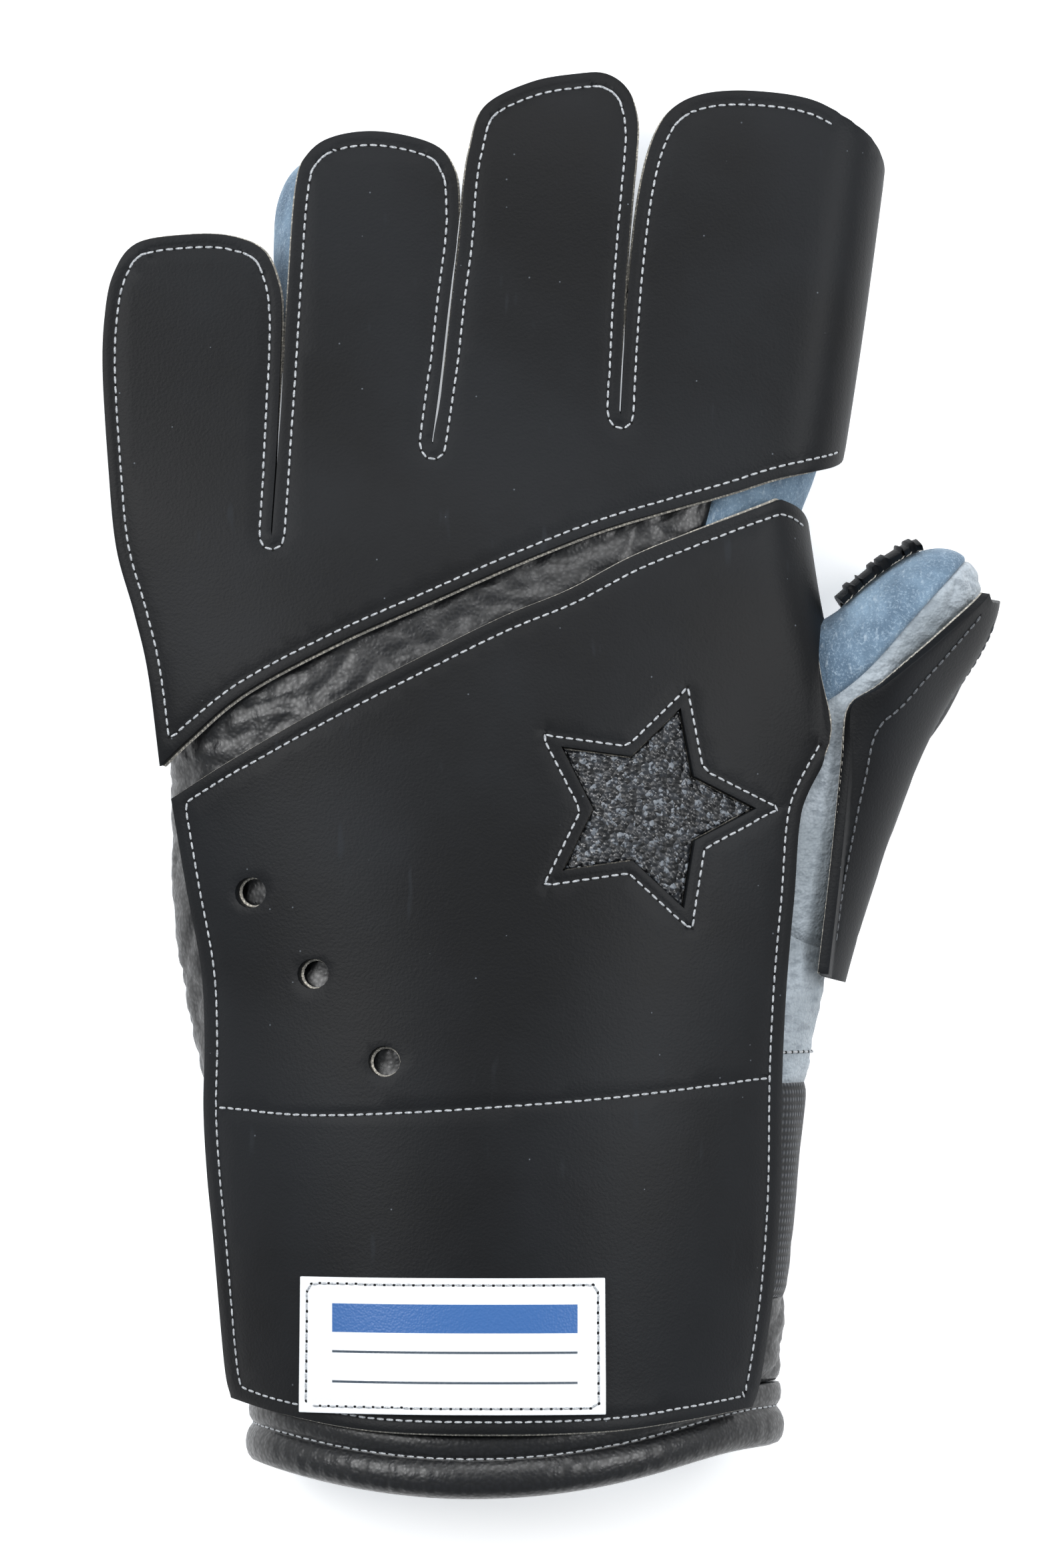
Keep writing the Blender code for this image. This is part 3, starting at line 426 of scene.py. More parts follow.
def rubber_look():
    """Matte black rubber with dust specks, faint scuffs and a very fine grain."""
    look = Look("black_rubber", 0.47, Specular_IOR_Level=0.16)
    point = look.place()
    dust = look.cell_tint(point, 0.0016)
    speck = (dust > 0.972) * (look.cells(point, 0.0016) < 0.11)
    cloudy = look.cloud(point, 0.045, 4)
    scuff = look.cloud(look.place((1, 0.16, 1)), 0.0035, 2).fade(0.69, 0.80)
    worn = look.mix(cloudy.fade(0.35, 0.70), rgb("0c0d0f"), rgb("15171a"))
    marked = look.mix(scuff * 0.16, worn, rgb("3a3f45"))
    look.set("Base Color", look.mix(speck * 0.4, marked, rgb("7c838b")))
    look.set("Roughness", 0.44 + cloudy * 0.10 + scuff * 0.08)
    look.relief(look.cloud(point, 0.0006, 2) * 0.6 + look.cloud(point, 0.006, 2) * 0.4, 0.00010)
    return look.material


def black_leather_look():
    """Glossy black leather with rounded pebbles and creases between them; the hollows between the pebbles
    are painted darker as painted shade.
    """
    look = Look("black_leather", 0.34, Specular_IOR_Level=0.42, Coat_Roughness=0.22)
    point = look.place()
    bent = look.vector("ADD", point, look.node("ShaderNodeTexNoise", {},
                       {"Vector": point, "Scale": 260.0, "Detail": 2.0}, "Color"))
    warped = look.vector("ADD", point, look.vector("MULTIPLY", bent, (0.0010, 0.0010, 0.0010)))
    pebbles = look.cells(warped, 0.0009, "SMOOTH_F1", 0.5)
    crease = look.cloud(look.place((1, 0.35, 1)), 0.006, 3).fade(0.42, 0.62)
    # Painted shade: the hollows between the pebbles are painted darker.
    look.set("Base Color", look.mix(pebbles.fade(0.25, 0.75), rgb("101114"), rgb("07080a")))
    look.set("Roughness", 0.30 + pebbles * 0.22)
    look.set("Coat Weight", 0.30 - pebbles * 0.25)
    look.relief(1 - pebbles * 0.65 - crease * 0.35, 0.00013)
    return look.material


def suede_look():
    """Steel blue suede: short fuzzy nap, darker where it was stroked the other way, with painted sheen
    where the fibres stand highest.
    """
    look = Look("blue_suede", 0.96, Specular_IOR_Level=0.08, Sheen_Weight=0.35,
                Sheen_Roughness=0.45, Sheen_Tint=rgb("dde5ec"))
    point = look.place()
    stroke = look.cloud(look.place((1, 0.6, 1)), 0.012, 4, 0.6)
    fuzz = look.cloud(point, 0.00055, 3, 0.7)
    wisps = look.cloud(look.place((1, 0.30, 0.6)), 0.0011, 3, 0.65)
    deep = look.mix(stroke.fade(0.34, 0.66), rgb("55697c"), rgb("7a91a5"))
    # Painted sheen: the raised fibre tips and wisps are painted paler.
    sheen_tipped = look.mix(fuzz.fade(0.48, 0.72) * 0.55, deep, rgb("a3b6c6"))
    look.set("Base Color", look.mix(wisps.fade(0.56, 0.74) * 0.4, sheen_tipped, rgb("bccad6")))
    look.relief(fuzz * 0.5 + wisps * 0.5, 0.00055)
    return look.material


def grey_leather_look():
    """Light grey leather with fine wrinkles that run across the pull, painted darker in the wrinkles and
    between the grain as painted shade.
    """
    look = Look("grey_leather", 0.55, Specular_IOR_Level=0.35, Sheen_Weight=0.12)
    point = look.place()
    wrinkles = look.cloud(look.place((1, 1.9, 0.7)), 0.0042, 5, 0.62)
    grain = look.cells(point, 0.0007, "SMOOTH_F1", 0.5)
    shade = look.cloud(point, 0.018, 3)
    base = look.mix(shade.fade(0.35, 0.65), rgb("8f989f"), rgb("a7b0b8"))
    # Painted shade: the wrinkles' hollows and the gaps between the grain are painted darker.
    creased = look.mix(wrinkles.fade(0.52, 0.36) * 0.6, base, rgb("6c757d"))
    look.set("Base Color", look.mix(grain.fade(0.45, 0.8) * 0.35, creased, rgb("7d868e")))
    look.set("Roughness", 0.48 + grain * 0.18)
    look.relief(wrinkles * 0.75 + (1 - grain) * 0.25, 0.0007)
    return look.material


def elastic_look():
    """Black woven elastic: fine ribs along the pull with threads across them, painted darker in the
    grooves of the weave as painted shade.
    """
    look = Look("black_elastic", 0.82, Specular_IOR_Level=0.22, Sheen_Weight=0.25)
    point = look.place()
    rib = (look.axis(point, "Y") * (2 * math.pi / 0.0016)).sine() * 0.5 + 0.5
    thread = (look.axis(point, "Z") * (2 * math.pi / 0.0009)).sine() * 0.5 + 0.5
    lint = look.cloud(point, 0.0012, 4, 0.7)
    weave = rib * (0.6 + thread * 0.4)
    # Painted shade: the weave's grooves are painted darker than its raised ribs.
    base = look.mix(weave.fade(0.1, 0.9), rgb("121315"), rgb("303338"))
    look.set("Base Color", look.mix(lint.fade(0.66, 0.80) * 0.35, base, rgb("6d7278")))
    look.relief(weave * 0.8 + lint * 0.2, 0.00045)
    return look.material


def granulate_look():
    """Black rubber crumb: small glossy grains, a few with a painted glint, with dark pits between them.
    """
    look = Look("rubber_crumb", 0.30, Specular_IOR_Level=0.6)
    point = look.place()
    grain = look.cells(point, 0.0011)
    tint = look.cell_tint(point, 0.0011)
    fine = look.cell_tint(point, 0.0005)
    base = look.mix(tint.fade(0.2, 0.95), rgb("0c0d0f"), rgb("2b2e33"))
    # Painted highlight: a few grains are painted pale as glints.
    painted_glint = (tint > 0.80) * (fine > 0.5)
    look.set("Base Color", look.mix(painted_glint * 0.55, base, rgb("7e858d")))
    look.set("Roughness", 0.16 + fine * 0.35)
    look.relief((1 - grain) * 0.6 + tint * 0.4, 0.0010)
    return look.material


def label_look():
    """The smooth white sewn-on label, a blue heading bar and two ruled lines for a name."""
    look = Look("name_label", 0.38, Specular_IOR_Level=0.45)
    point = look.place()
    across = look.axis(point, "X") - PATCH_MIDDLE[0]
    along = look.axis(point, "Y") - PATCH_MIDDLE[1]
    weave = look.cells(point, 0.0005, "SMOOTH_F1", 0.6)
    inner = ((across * across) ** 0.5 < PATCH_WIDTH * 0.425)
    bar = (along > 0.0028) * (along < 0.0088) * inner
    lines = ((along > -0.0015) * (along < -0.0010) + (along > -0.0078) * (along < -0.0073)) * inner
    base = look.mix(look.cloud(point, 0.010, 3), rgb("dfe3e8"), rgb("eef0f3"))
    barred = look.mix(bar, base, rgb("35609a"))
    look.set("Base Color", look.mix(lines.least(1.0), barred, rgb("3f4a55")))
    look.relief(weave, 0.00006)
    return look.material


def thread_look(name, dark, light):
    """Twisted sewing thread, painted darker in the grooves of its twist as painted shade."""
    look = Look(name, 0.62, Specular_IOR_Level=0.35, Sheen_Weight=0.2)
    point = look.place()
    twist = look.cloud(look.place((1, 1, 2)), 0.00035, 2)
    # Painted shade: the twist's grooves are painted darker than its ridges.
    look.set("Base Color", look.mix(twist.fade(0.35, 0.65), rgb(dark), rgb(light)))
    look.relief(twist + look.cloud(point, 0.002, 1) * 0.2, 0.00012)
    return look.material


def backing_look():
    """The pale knitted fabric on the underside of the rubber sheets, painted darker between its loops as
    painted shade.
    """
    look = Look("knit_backing", 0.9, Specular_IOR_Level=0.15, Sheen_Weight=0.3)
    knit = look.cells(look.place(), 0.0006)
    # Painted shade: the gaps between the loops are painted darker.
    look.set("Base Color", look.mix(knit.fade(0.1, 0.6), rgb("d8d2c4"), rgb("8d8a83")))
    look.relief(1 - knit, 0.0003)
    return look.material


def plain_look(name, colour, roughness):
    """Paper-smooth floor or the painted shade of a needle hole as a dark disc, with a trace of
    unevenness.
    """
    look = Look(name, roughness, Specular_IOR_Level=0.2)
    shade = look.cloud(look.place(), 0.02, 2)
    look.set("Base Color", look.mix(shade * 0.04, rgb(colour), rgb("808080")))
    return look.material


def floor_look():
    """A white studio table that glows a little, so that it stays white round the glove."""
    look = Look("pale_floor", 0.9, Specular_IOR_Level=0.1, Emission_Strength=0.42)
    shade = look.cloud(look.place(), 0.3, 2)
    look.set("Base Color", look.mix(shade * 0.02, rgb("f6f6f6"), rgb("e8e8e8")))
    look.shader.inputs["Emission Color"].default_value = (1, 1, 1, 1)
    return look.material


# Shape of the back


def smooth_value(x, table, column):
    """The table's column at x, on one smooth curve through its rows."""
    xs = np.array([row[0] for row in table])
    ys = np.array([row[column] for row in table])
    slopes = np.gradient(ys, xs)
    x = min(max(x, xs[0]), xs[-1])
    i = min(int(np.searchsorted(xs, x, side="right")) - 1, len(xs) - 2)
    width = xs[i + 1] - xs[i]
    t = (x - xs[i]) / width
    start = (1 + 2 * t) * (1 - t) ** 2 * ys[i] + t * (1 - t) ** 2 * width * slopes[i]
    end = t * t * (3 - 2 * t) * ys[i + 1] + t * t * (t - 1) * width * slopes[i + 1]
    return float(start + end)


def side_places(along):
    """Across shares of the hand's left and right shoulder at this share along it."""
    rows = [(row[0][1], row[0][0]) for row in HAND_ROWS] + [(0.25, -0.556), (0.52, -0.556)]
    left = smooth_value(along, rows, 1)
    rows = [(row[1][1], row[1][0]) for row in HAND_ROWS] + [(0.25, 0.372), (0.52, 0.40)]
    right = smooth_value(along, rows, 1)
    return left, right


def back_height(across, along):
    """Height of the leather back over the floor."""
    share = smooth_value(along, BACK_HEIGHT, 1)
    drop = smooth_value(along, BACK_HEIGHT, 2)
    left, right = side_places(along)
    side = (across - (left + right) / 2) / ((right - left) / 2)
    height = FINGER_HEIGHT + share * (CUFF_HEIGHT - FINGER_HEIGHT)
    return height * (1 - drop * min(abs(side), 1.25) ** 2.3)


def place(across, along, height):
    return Vector((across * FINGER_SPAN, along * GLOVE_LENGTH, height))


def mix(a, b, share):
    return tuple(x + (y - x) * share for x, y in zip(a, b))


# The sewn hand: one coarse cage, subdivided, then cut into its pieces


class Cage:
    """Points and faces of the glove's coarse cage, each face with the name of its piece."""

    def __init__(self):
        self.points = []
        self.faces = []
        self.labels = []
        self.creases = {}

    def add(self, point):
        self.points.append(Vector(point))
        return len(self.points) - 1

    def face(self, corners, label):
        self.faces.append(tuple(corners))
        self.labels.append(PIECES.index(label))

    def crease(self, a, b, sharpness):
        self.creases[frozenset((a, b))] = sharpness


def loop_points(cage, tops, left_bulge, right_bulge, shoulder_drop, tuck):
    """A closed ring round the hand or a finger: the top points, then a right side point, the bottom
    points and a left side point. tops holds (across, along) from left to right."""
    top = []
    for i, (across, along) in enumerate(tops):
        height = back_height(across, along)
        if i == len(tops) - 1:
            height -= shoulder_drop * FINGER_HEIGHT
        top.append(cage.add(place(across, along, height)))
    left, right = cage.points[top[0]], cage.points[top[-1]]
    outward = FINGER_HEIGHT
    right_side = cage.add((right.x + right_bulge * outward, right.y, right.z * 0.50))
    left_side = cage.add((left.x - left_bulge * outward, left.y, left.z * 0.50))
    bottom = []
    for i, index in enumerate(top):
        point = cage.points[index]
        inset = 0.0
        if i == 0:
            inset = tuck
        if i == len(top) - 1:
            inset = -tuck
        height = 0.0 if 0 < i < len(top) - 1 else 0.06 * FINGER_HEIGHT
        bottom.append(cage.add((point.x + inset, point.y, height)))
    return top, right_side, bottom, left_side


def hand_cage(cage):
    """Rows of points round the cuff and the hand, up to the row where the fingers leave."""
    base = [place(across, along, 0) for across, along in FINGER_BASE]
    span = base[-1].x - base[0].x
    columns = [(point.x - base[0].x) / span for point in base]
    rows = []
    for left, right, bow, left_bulge, right_bulge, drop in HAND_ROWS:
        tops = []
        for share in columns:
            across, along = mix(left, right, share)
            tops.append((across, along - bow * 4 * share * (1 - share)))
        rows.append(loop_points(cage, tops, left_bulge, right_bulge, drop, HAND_TUCK))
    rows.append(loop_points(cage, FINGER_BASE, 0.06, 0.06, INDEX_SHOULDER_DROP, HAND_TUCK))
    for j in range(len(rows) - 1):
        top, right_side, bottom, left_side = rows[j]
        next_top, next_right, next_bottom, next_left = rows[j + 1]
        cuff_side = "wrist_elastic" if j in ELASTIC_ROWS else "side_leather"
        if j == 0:
            cuff_side = "back_leather"
        if j >= THUMB_ROWS[-1]:
            cuff_side = "palm_suede"
        back = "back_leather"
        for i in range(len(top) - 1):
            label = "palm_suede" if j >= THUMB_ROWS[-1] and i == len(top) - 2 else back
            cage.face((top[i], top[i + 1], next_top[i + 1], next_top[i]), label)
            under = (bottom[i + 1], bottom[i], next_bottom[i], next_bottom[i + 1])
            cage.face(under, "palm_suede")
        if j not in THUMB_ROWS[:-1]:
            cage.face((top[-1], right_side, next_right, next_top[-1]), cuff_side)
            cage.face((right_side, bottom[-1], next_bottom[-1], next_right), cuff_side)
        cage.face((left_side, top[0], next_top[0], next_left), "back_leather")
        cage.face((bottom[0], left_side, next_left, next_bottom[0]), "palm_suede")
    return rows


def finger_cage(cage, base_row, number, webs):
    """One finger: rings of eight points from the hand to its rounded tip."""
    name = FINGER_NAMES[number]
    top, right_side, bottom, left_side = base_row
    first = 2 * number
    ring = [
        top[first], top[first + 1], top[first + 2],
        webs.get(number + 1, right_side),
        bottom[first + 2], bottom[first + 1], bottom[first],
        webs.get(number, left_side),
    ]
    is_index = number == len(FINGER_NAMES) - 1
    for along, left, right, left_bulge, right_bulge in FINGER_RINGS[name]:
        drop = INDEX_SHOULDER_DROP if is_index else 0.0
        tops = [(left, along), ((left + right) / 2, along), (right, along)]
        made = loop_points(cage, tops, left_bulge, right_bulge, drop, FINGER_TUCK)
        next_top, next_right, next_bottom, next_left = made
        upper = [*next_top, next_right, *reversed(next_bottom), next_left]
        for i in range(8):
            j = (i + 1) % 8
            cage.face((ring[i], ring[j], upper[j], upper[i]), name)
        cage.crease(ring[0], upper[0], 0.75)
        if not is_index:
            cage.crease(ring[2], upper[2], 0.75)
        ring = upper
    close_tip(cage, ring, [name] * 4)


def close_tip(cage, ring, labels):
    """Four faces round a middle point over the end of a ring of eight."""
    centre = sum((cage.points[i] for i in ring), Vector()) / 8
    outward = cage.points[ring[1]] - centre
    across = cage.points[ring[2]] - cage.points[ring[0]]
    ahead = across.cross(outward).normalized() * -1
    if ahead.y < 0:
        ahead = -ahead
    middle = cage.add(centre + ahead * TIP_REACH)
    quads = ((7, 0, 1), (1, 2, 3), (3, 4, 5), (5, 6, 7))
    for (a, b, c), label in zip(quads, labels):
        cage.face((ring[a], ring[b], ring[c], middle), label)


def thumb_axes():
    """The thumb's direction, the direction of its width, up and inwards, and that of its outer face."""
    ahead = Vector((math.cos(THUMB_ANGLE), math.sin(THUMB_ANGLE), 0))
    inward = Vector((-math.sin(THUMB_ANGLE), math.cos(THUMB_ANGLE), 0))
    up = Vector((0, 0, 1))
    width = inward * math.cos(THUMB_ROLL) + up * math.sin(THUMB_ROLL)
    rise = up * math.cos(THUMB_ROLL) - inward * math.sin(THUMB_ROLL)
    return ahead, width, rise


def thumb_cage(cage, rows):
    """The thumb: rings of eight points that leave the hand's right side."""
    low, middle, high = (rows[j] for j in THUMB_ROWS)
    ring = [
        low[0][-1], middle[0][-1], high[0][-1], high[1],
        high[2][-1], middle[2][-1], low[2][-1], low[1],
    ]
    labels = [
        "thumb_leather", "thumb_suede", "thumb_suede", "thumb_suede",
        "thumb_suede", "thumb_suede", "thumb_leather", "thumb_leather",
    ]
    ahead, width, rise = thumb_axes()
    root = place(*THUMB_PLACE, THUMB_ROOT_HEIGHT)
    corners = (
        (0, 1.10), (1, 1), (1.12, 0), (1, -1),
        (0, -1.10), (-1, -1), (-1.12, 0), (-1, 1),
    )
    for share, wide, thick in THUMB_RINGS:
        centre = root + ahead * (THUMB_LENGTH * share)
        centre.z = THUMB_ROOT_HEIGHT + (THUMB_TIP_HEIGHT - THUMB_ROOT_HEIGHT) * share
        upper = []
        for a, b in corners:
            offset = width * (a * wide * THUMB_WIDTH / 2) + rise * (b * thick * THUMB_THICKNESS / 2)
            upper.append(cage.add(centre + offset))
        for i in range(8):
            j = (i + 1) % 8
            cage.face((ring[i], ring[j], upper[j], upper[i]), labels[i])
        ring = upper
    tip_labels = ["thumb_leather", "thumb_suede", "thumb_suede", "thumb_leather"]
    close_tip(cage, ring, tip_labels)


# The sewn hand


def glove_surface(levels):
    """The sewn hand as one smooth surface; its faces know their piece."""
    cage = Cage()
    rows = hand_cage(cage)
    base = rows[-1]
    webs = {}
    for slit in (1, 2, 3):
        top, bottom = cage.points[base[0][2 * slit]], cage.points[base[2][2 * slit]]
        webs[slit] = cage.add((top + bottom) / 2 + Vector((0, WEB_REACH, 0)))
    for number in range(4):
        finger_cage(cage, base, number, webs)
    thumb_cage(cage, rows)
    mesh = mesh_of("sewn_surface", [point + SHIFT for point in cage.points], cage.faces)
    for label in PIECES:
        mesh.materials.append(None)
    edges = bmesh.new()
    edges.from_mesh(mesh)
    layer = edges.edges.layers.float.new("crease_edge")
    for edge in edges.edges:
        key = frozenset(vertex.index for vertex in edge.verts)
        edge[layer] = cage.creases.get(key, 0.0)
    bmesh.ops.recalc_face_normals(edges, faces=edges.faces)
    edges.to_mesh(mesh)
    edges.free()
    mesh.polygons.foreach_set("material_index", cage.labels)
    form = bpy.data.objects.new("sewn_surface", mesh)
    bpy.context.scene.collection.objects.link(form)
    smooth = form.modifiers.new("smooth", "SUBSURF")
    smooth.levels = levels
    smooth.render_levels = levels
    made = finished_mesh(form)
    bpy.data.objects.remove(form, do_unlink=True)
    return made


def mesh_of(name, points, faces):
    mesh = bpy.data.meshes.new(name)
    mesh.from_pydata(points, [], faces)
    return mesh


def finished_mesh(obj):
    graph = bpy.context.evaluated_depsgraph_get()
    graph.update()
    return bpy.data.meshes.new_from_object(obj.evaluated_get(graph))


def add_piece(name, mesh, material, *nodes, smooth=True):
    """A shown piece that rides on the glove and stands for these CAD nodes."""
    obj = bpy.data.objects.new(name, mesh)
    bpy.context.scene.collection.objects.link(obj)
    mesh.materials.clear()
    mesh.materials.append(material)
    mesh.polygons.foreach_set("material_index", [0] * len(mesh.polygons))
    if smooth:
        mesh.shade_smooth()
    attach(obj, "root")
    if nodes:
        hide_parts(*nodes)
    return obj


def wrinkle_depth(point, label):
    """How far the leather sinks in its creases here, in metres."""
    amount, size, along = WRINKLES.get(label, (0.00025, 0.012, 1.0))
    p = Vector((point.x, point.y * along, point.z)) / size
    turned = p + Vector((noise.noise(p * 0.5), noise.noise(p * 0.5 + Vector((9, 0, 0))), 0)) * 0.8
    ridge = 1 - abs(noise.noise(turned))
    return amount * ridge ** 4 + 0.25 * amount * noise.noise(p * 2.7)


def sewn_piece(surface, label, wall, material):
    """One leather piece with its edges tucked in at the seams, creases and a clean inner side."""
    count = len(surface.vertices)
    points = np.empty(count * 3)
    surface.vertices.foreach_get("co", points)
    points = points.reshape(-1, 3)
    normals = np.empty(count * 3)
    surface.vertex_normals.foreach_get("vector", normals)
    normals = normals.reshape(-1, 3)
    corners = np.empty(len(surface.loops), dtype=int)
    surface.loops.foreach_get("vertex_index", corners)
    quads = corners.reshape(-1, 4)
    numbers = np.empty(len(quads), dtype=int)
    surface.polygons.foreach_get("material_index", numbers)
    own = quads[numbers == PIECES.index(label)]
    used, faces = np.unique(own, return_inverse=True)
    faces = faces.reshape(-1, 4)
    total = len(used)
    starts = faces.reshape(-1)
    ends = np.roll(faces, -1, axis=1).reshape(-1)
    there = starts * total + ends
    back = ends * total + starts
    open_edges = ~np.isin(there, back)
    rings = np.full(total, 9)
    rings[starts[open_edges]] = 0
    rings[ends[open_edges]] = 0
    for ring in (1, 2, 3):
        near = np.isin(starts, np.nonzero(rings == ring - 1)[0])
        fresh = np.unique(ends[near])
        rings[fresh[rings[fresh] == 9]] = ring
    tuck = np.array([TUCK[min(ring, 4)] for ring in rings])
    skin = points[used]
    out = normals[used]
    creased = np.array([wrinkle_depth(Vector(p), label) for p in skin])
    outer = skin - out * (creased * (rings > 0) + tuck)[:, None]
    inner = skin - out * (wall + tuck * 0.3)[:, None]
    rim = np.stack([ends, starts, starts + total, ends + total], axis=1)[open_edges]
    every = np.concatenate([faces, faces[:, ::-1] + total, rim])
    mesh = mesh_of(label, np.concatenate([outer, inner]).tolist(), every.tolist())
    return add_piece(label + "_sewn", mesh, material, label)


# Sheets laid on the back


def dense(points, step):
    """The same open line with points about every step."""
    made = []
    for a, b in zip(points, points[1:]):
        count = max(1, round((b - a).length / step))
        made.extend(a.lerp(b, k / count) for k in range(count))
    return made + [points[-1]]


def closed(points):
    """The same closed line with points about every EDGE_STEP, its first point not repeated."""
    return dense(points + points[:1], EDGE_STEP)[:-1]


def even(points, step):
    """Points exactly step apart along a line."""
    made, carried = [points[0]], 0.0
    for a, b in zip(points, points[1:]):
        length = (b - a).length
        at = step - carried
        while at <= length:
            made.append(a.lerp(b, at / length))
            at += step
        carried = length - (at - step)
    return made


def inside(points, outline):
    """For each point, whether it lies inside the closed outline."""
    p = np.array([tuple(q)[:2] for q in points])
    a = np.array([tuple(q)[:2] for q in outline])
    b = np.roll(a, -1, axis=0)
    found = np.zeros(len(p), dtype=bool)
    for (ax, ay), (bx, by) in zip(a, b):
        if ay != by:
            spans = (p[:, 1] < ay) != (p[:, 1] < by)
            found ^= spans & (p[:, 0] < ax + (p[:, 1] - ay) / (by - ay) * (bx - ax))
    return found


def inset(outline, distance):
    """A closed line that keeps this distance inside the outline, rounded where it turns outwards.
    Negative distances give a line outside it. Returns runs without the stretches that can't be."""
    count = len(outline)
    area = sum(a.x * b.y - b.x * a.y for a, b in zip(outline, outline[1:] + outline[:1]))
    turn = 1 if area > 0 else -1
    raw = []
    for k in range(count):
        a, b, c = outline[k - 1], outline[k], outline[(k + 1) % count]
        before, after = (b - a).normalized(), (c - b).normalized()
        first = Vector((-before.y, before.x)) * turn
        last = Vector((-after.y, after.x)) * turn
        bend = first.angle_signed(last, 0.0)
        steps = max(1, int(abs(bend) * abs(distance) / 0.0007))
        for s in range(steps + 1):
            angle = math.atan2(first.y, first.x) - bend * s / steps
            raw.append(b + Vector((math.cos(angle), math.sin(angle))) * distance)
    edge = np.array([tuple(q) for q in outline])
    kept = []
    for q in raw:
        gap = np.sqrt(((edge - np.array(tuple(q))) ** 2).sum(axis=1).min())
        if gap > abs(distance) * 0.965 and (not kept or (kept[-1] - q).length > 0.0002):
            kept.append(q)
    return kept


def runs_of(points, reach=0.004, closed=True):
    """Splits a line wherever two neighbours are further apart than reach."""
    runs, run = [], [points[0]]
    for a, b in zip(points, points[1:] + (points[:1] if closed else [])):
        if (b - a).length > reach:
            runs.append(run)
            run = [b]
        else:
            run.append(b)
    runs.append(run)
    return [run for run in runs if len(run) > 3]


def edge_seams(outline, distance, limit):
    """Stitch lines this far inside an outline, without what lies beyond limit, round the side."""
    made = []
    for run in runs_of(inset(outline, distance)):
        shown = [point for point in run if point.x < limit]
        if len(shown) > 3:
            made += runs_of(shown, closed=False)
    return made


def beside(run, distance):
    """The line a little to one side of a run."""
    made = []
    for a, b in zip(run, run[1:]):
        along = (b - a)
        if along.length > 1e-9:
            made.append(a + Vector((-along.y, along.x)).normalized() * distance)
    return made


def cut_sheet(name, outline, holes, seams, step, press):
    """A flat sheet cut to its outline, with extra points where the seams press it in.
    Returns (points, presses, triangles)."""
    flat, links, sunk = [], [], []
    for ring in [outline, *holes]:
        first, count = len(flat), len(ring)
        flat.extend(ring)
        links.extend((first + k, first + (k + 1) % count) for k in range(count))
    sunk = [0.0] * len(flat)
    for run in seams:
        for distance, depth in ((0, press), (0.0011, 0), (-0.0011, 0)):
            line = beside(run, distance) if distance else run
            fine = even(line, 0.0011)
            flat.extend(fine)
            sunk.extend([depth] * len(fine))
    taken = np.array([tuple(p) for p in flat])
    low, high = taken.min(axis=0), taken.max(axis=0)
    for x in np.arange(low[0] + step / 2, high[0], step):
        for y in np.arange(low[1] + step / 2, high[1], step):
            if ((taken - (x, y)) ** 2).sum(axis=1).min() > (step * 0.45) ** 2:
                flat.append(Vector((x, y)))
                sunk.append(0.0)
    made = delaunay_2d_cdt(flat, links, [], 0, 1e-7)
    points, faces, sources = made[0], made[2], made[3]
    presses = [max((sunk[i] for i in source), default=0.0) for source in sources]
    middles = [(points[a] + points[b] + points[c]) / 3 for a, b, c in faces]
    keep = inside(middles, outline)
    for hole in holes:
        keep &= ~inside(middles, hole)
    return points, presses, [face for face, wanted in zip(faces, keep) if wanted]


def seated(point, tree, gap):
    """The point, moved out where it is closer than gap to the leather."""
    spot, normal, index, distance = tree.find_nearest(point)
    rise = (point - spot).dot(normal)
    if rise < gap and distance < 0.02:
        return spot + normal * gap
    return point


def laid_sheet(name, outline, holes, seams, side, lift, thickness, tree, material, nodes,
               step=0.0026, press=0.0, edge=0.0003, roughness=0.0, gap=SEAT_GAP):
    """A sheet laid on the back, seated on the leather, thickened and softened at its cut edges."""
    points, presses, faces = cut_sheet(name, outline, holes, seams, step, press)
    laid = []
    for point, sink in zip(points, presses):
        place_at = seated(bent_point(point, side, lift) + SHIFT, tree, gap)
        laid.append(place_at - Vector((0, 0, sink)))
    mesh = mesh_of(name, laid, faces)
    return thick_sheet(name, mesh, thickness, material, nodes, edge, roughness)


def thick_sheet(name, mesh, thickness, material, nodes, edge, roughness=0.0, up=Vector((0, 0, 1))):
    sheet = bmesh.new()
    sheet.from_mesh(mesh)
    loose = [vertex for vertex in sheet.verts if not vertex.link_faces]
    bmesh.ops.delete(sheet, geom=loose, context="VERTS")
    bmesh.ops.recalc_face_normals(sheet, faces=sheet.faces)
    sheet.normal_update()
    if sum(face.normal.dot(up) for face in sheet.faces) < 0:
        bmesh.ops.reverse_faces(sheet, faces=sheet.faces)
    sheet.to_mesh(mesh)
    sheet.free()
    obj = bpy.data.objects.new(name, mesh)
    bpy.context.scene.collection.objects.link(obj)
    wall = obj.modifiers.new("wall", "SOLIDIFY")
    wall.thickness = thickness
    wall.offset = 1.0
    if edge:
        soft = obj.modifiers.new("soft_edge", "BEVEL")
        soft.width = edge
        soft.segments = 2
        soft.limit_method = "ANGLE"
        soft.angle_limit = math.radians(55)
    made = finished_mesh(obj)
    bpy.data.objects.remove(obj, do_unlink=True)
    made.name = name
    if roughness:
        for vertex in made.vertices:
            lump = noise.noise(vertex.co * 900) + noise.noise(vertex.co * 2100)
            vertex.co += vertex.normal * (roughness * lump)
    return add_piece(name, made, material, *nodes)


def tree_of(mesh):
    shape = bmesh.new()
    shape.from_mesh(mesh)
    tree = BVHTree.FromBMesh(shape)
    shape.free()
    return tree


# Sewing thread


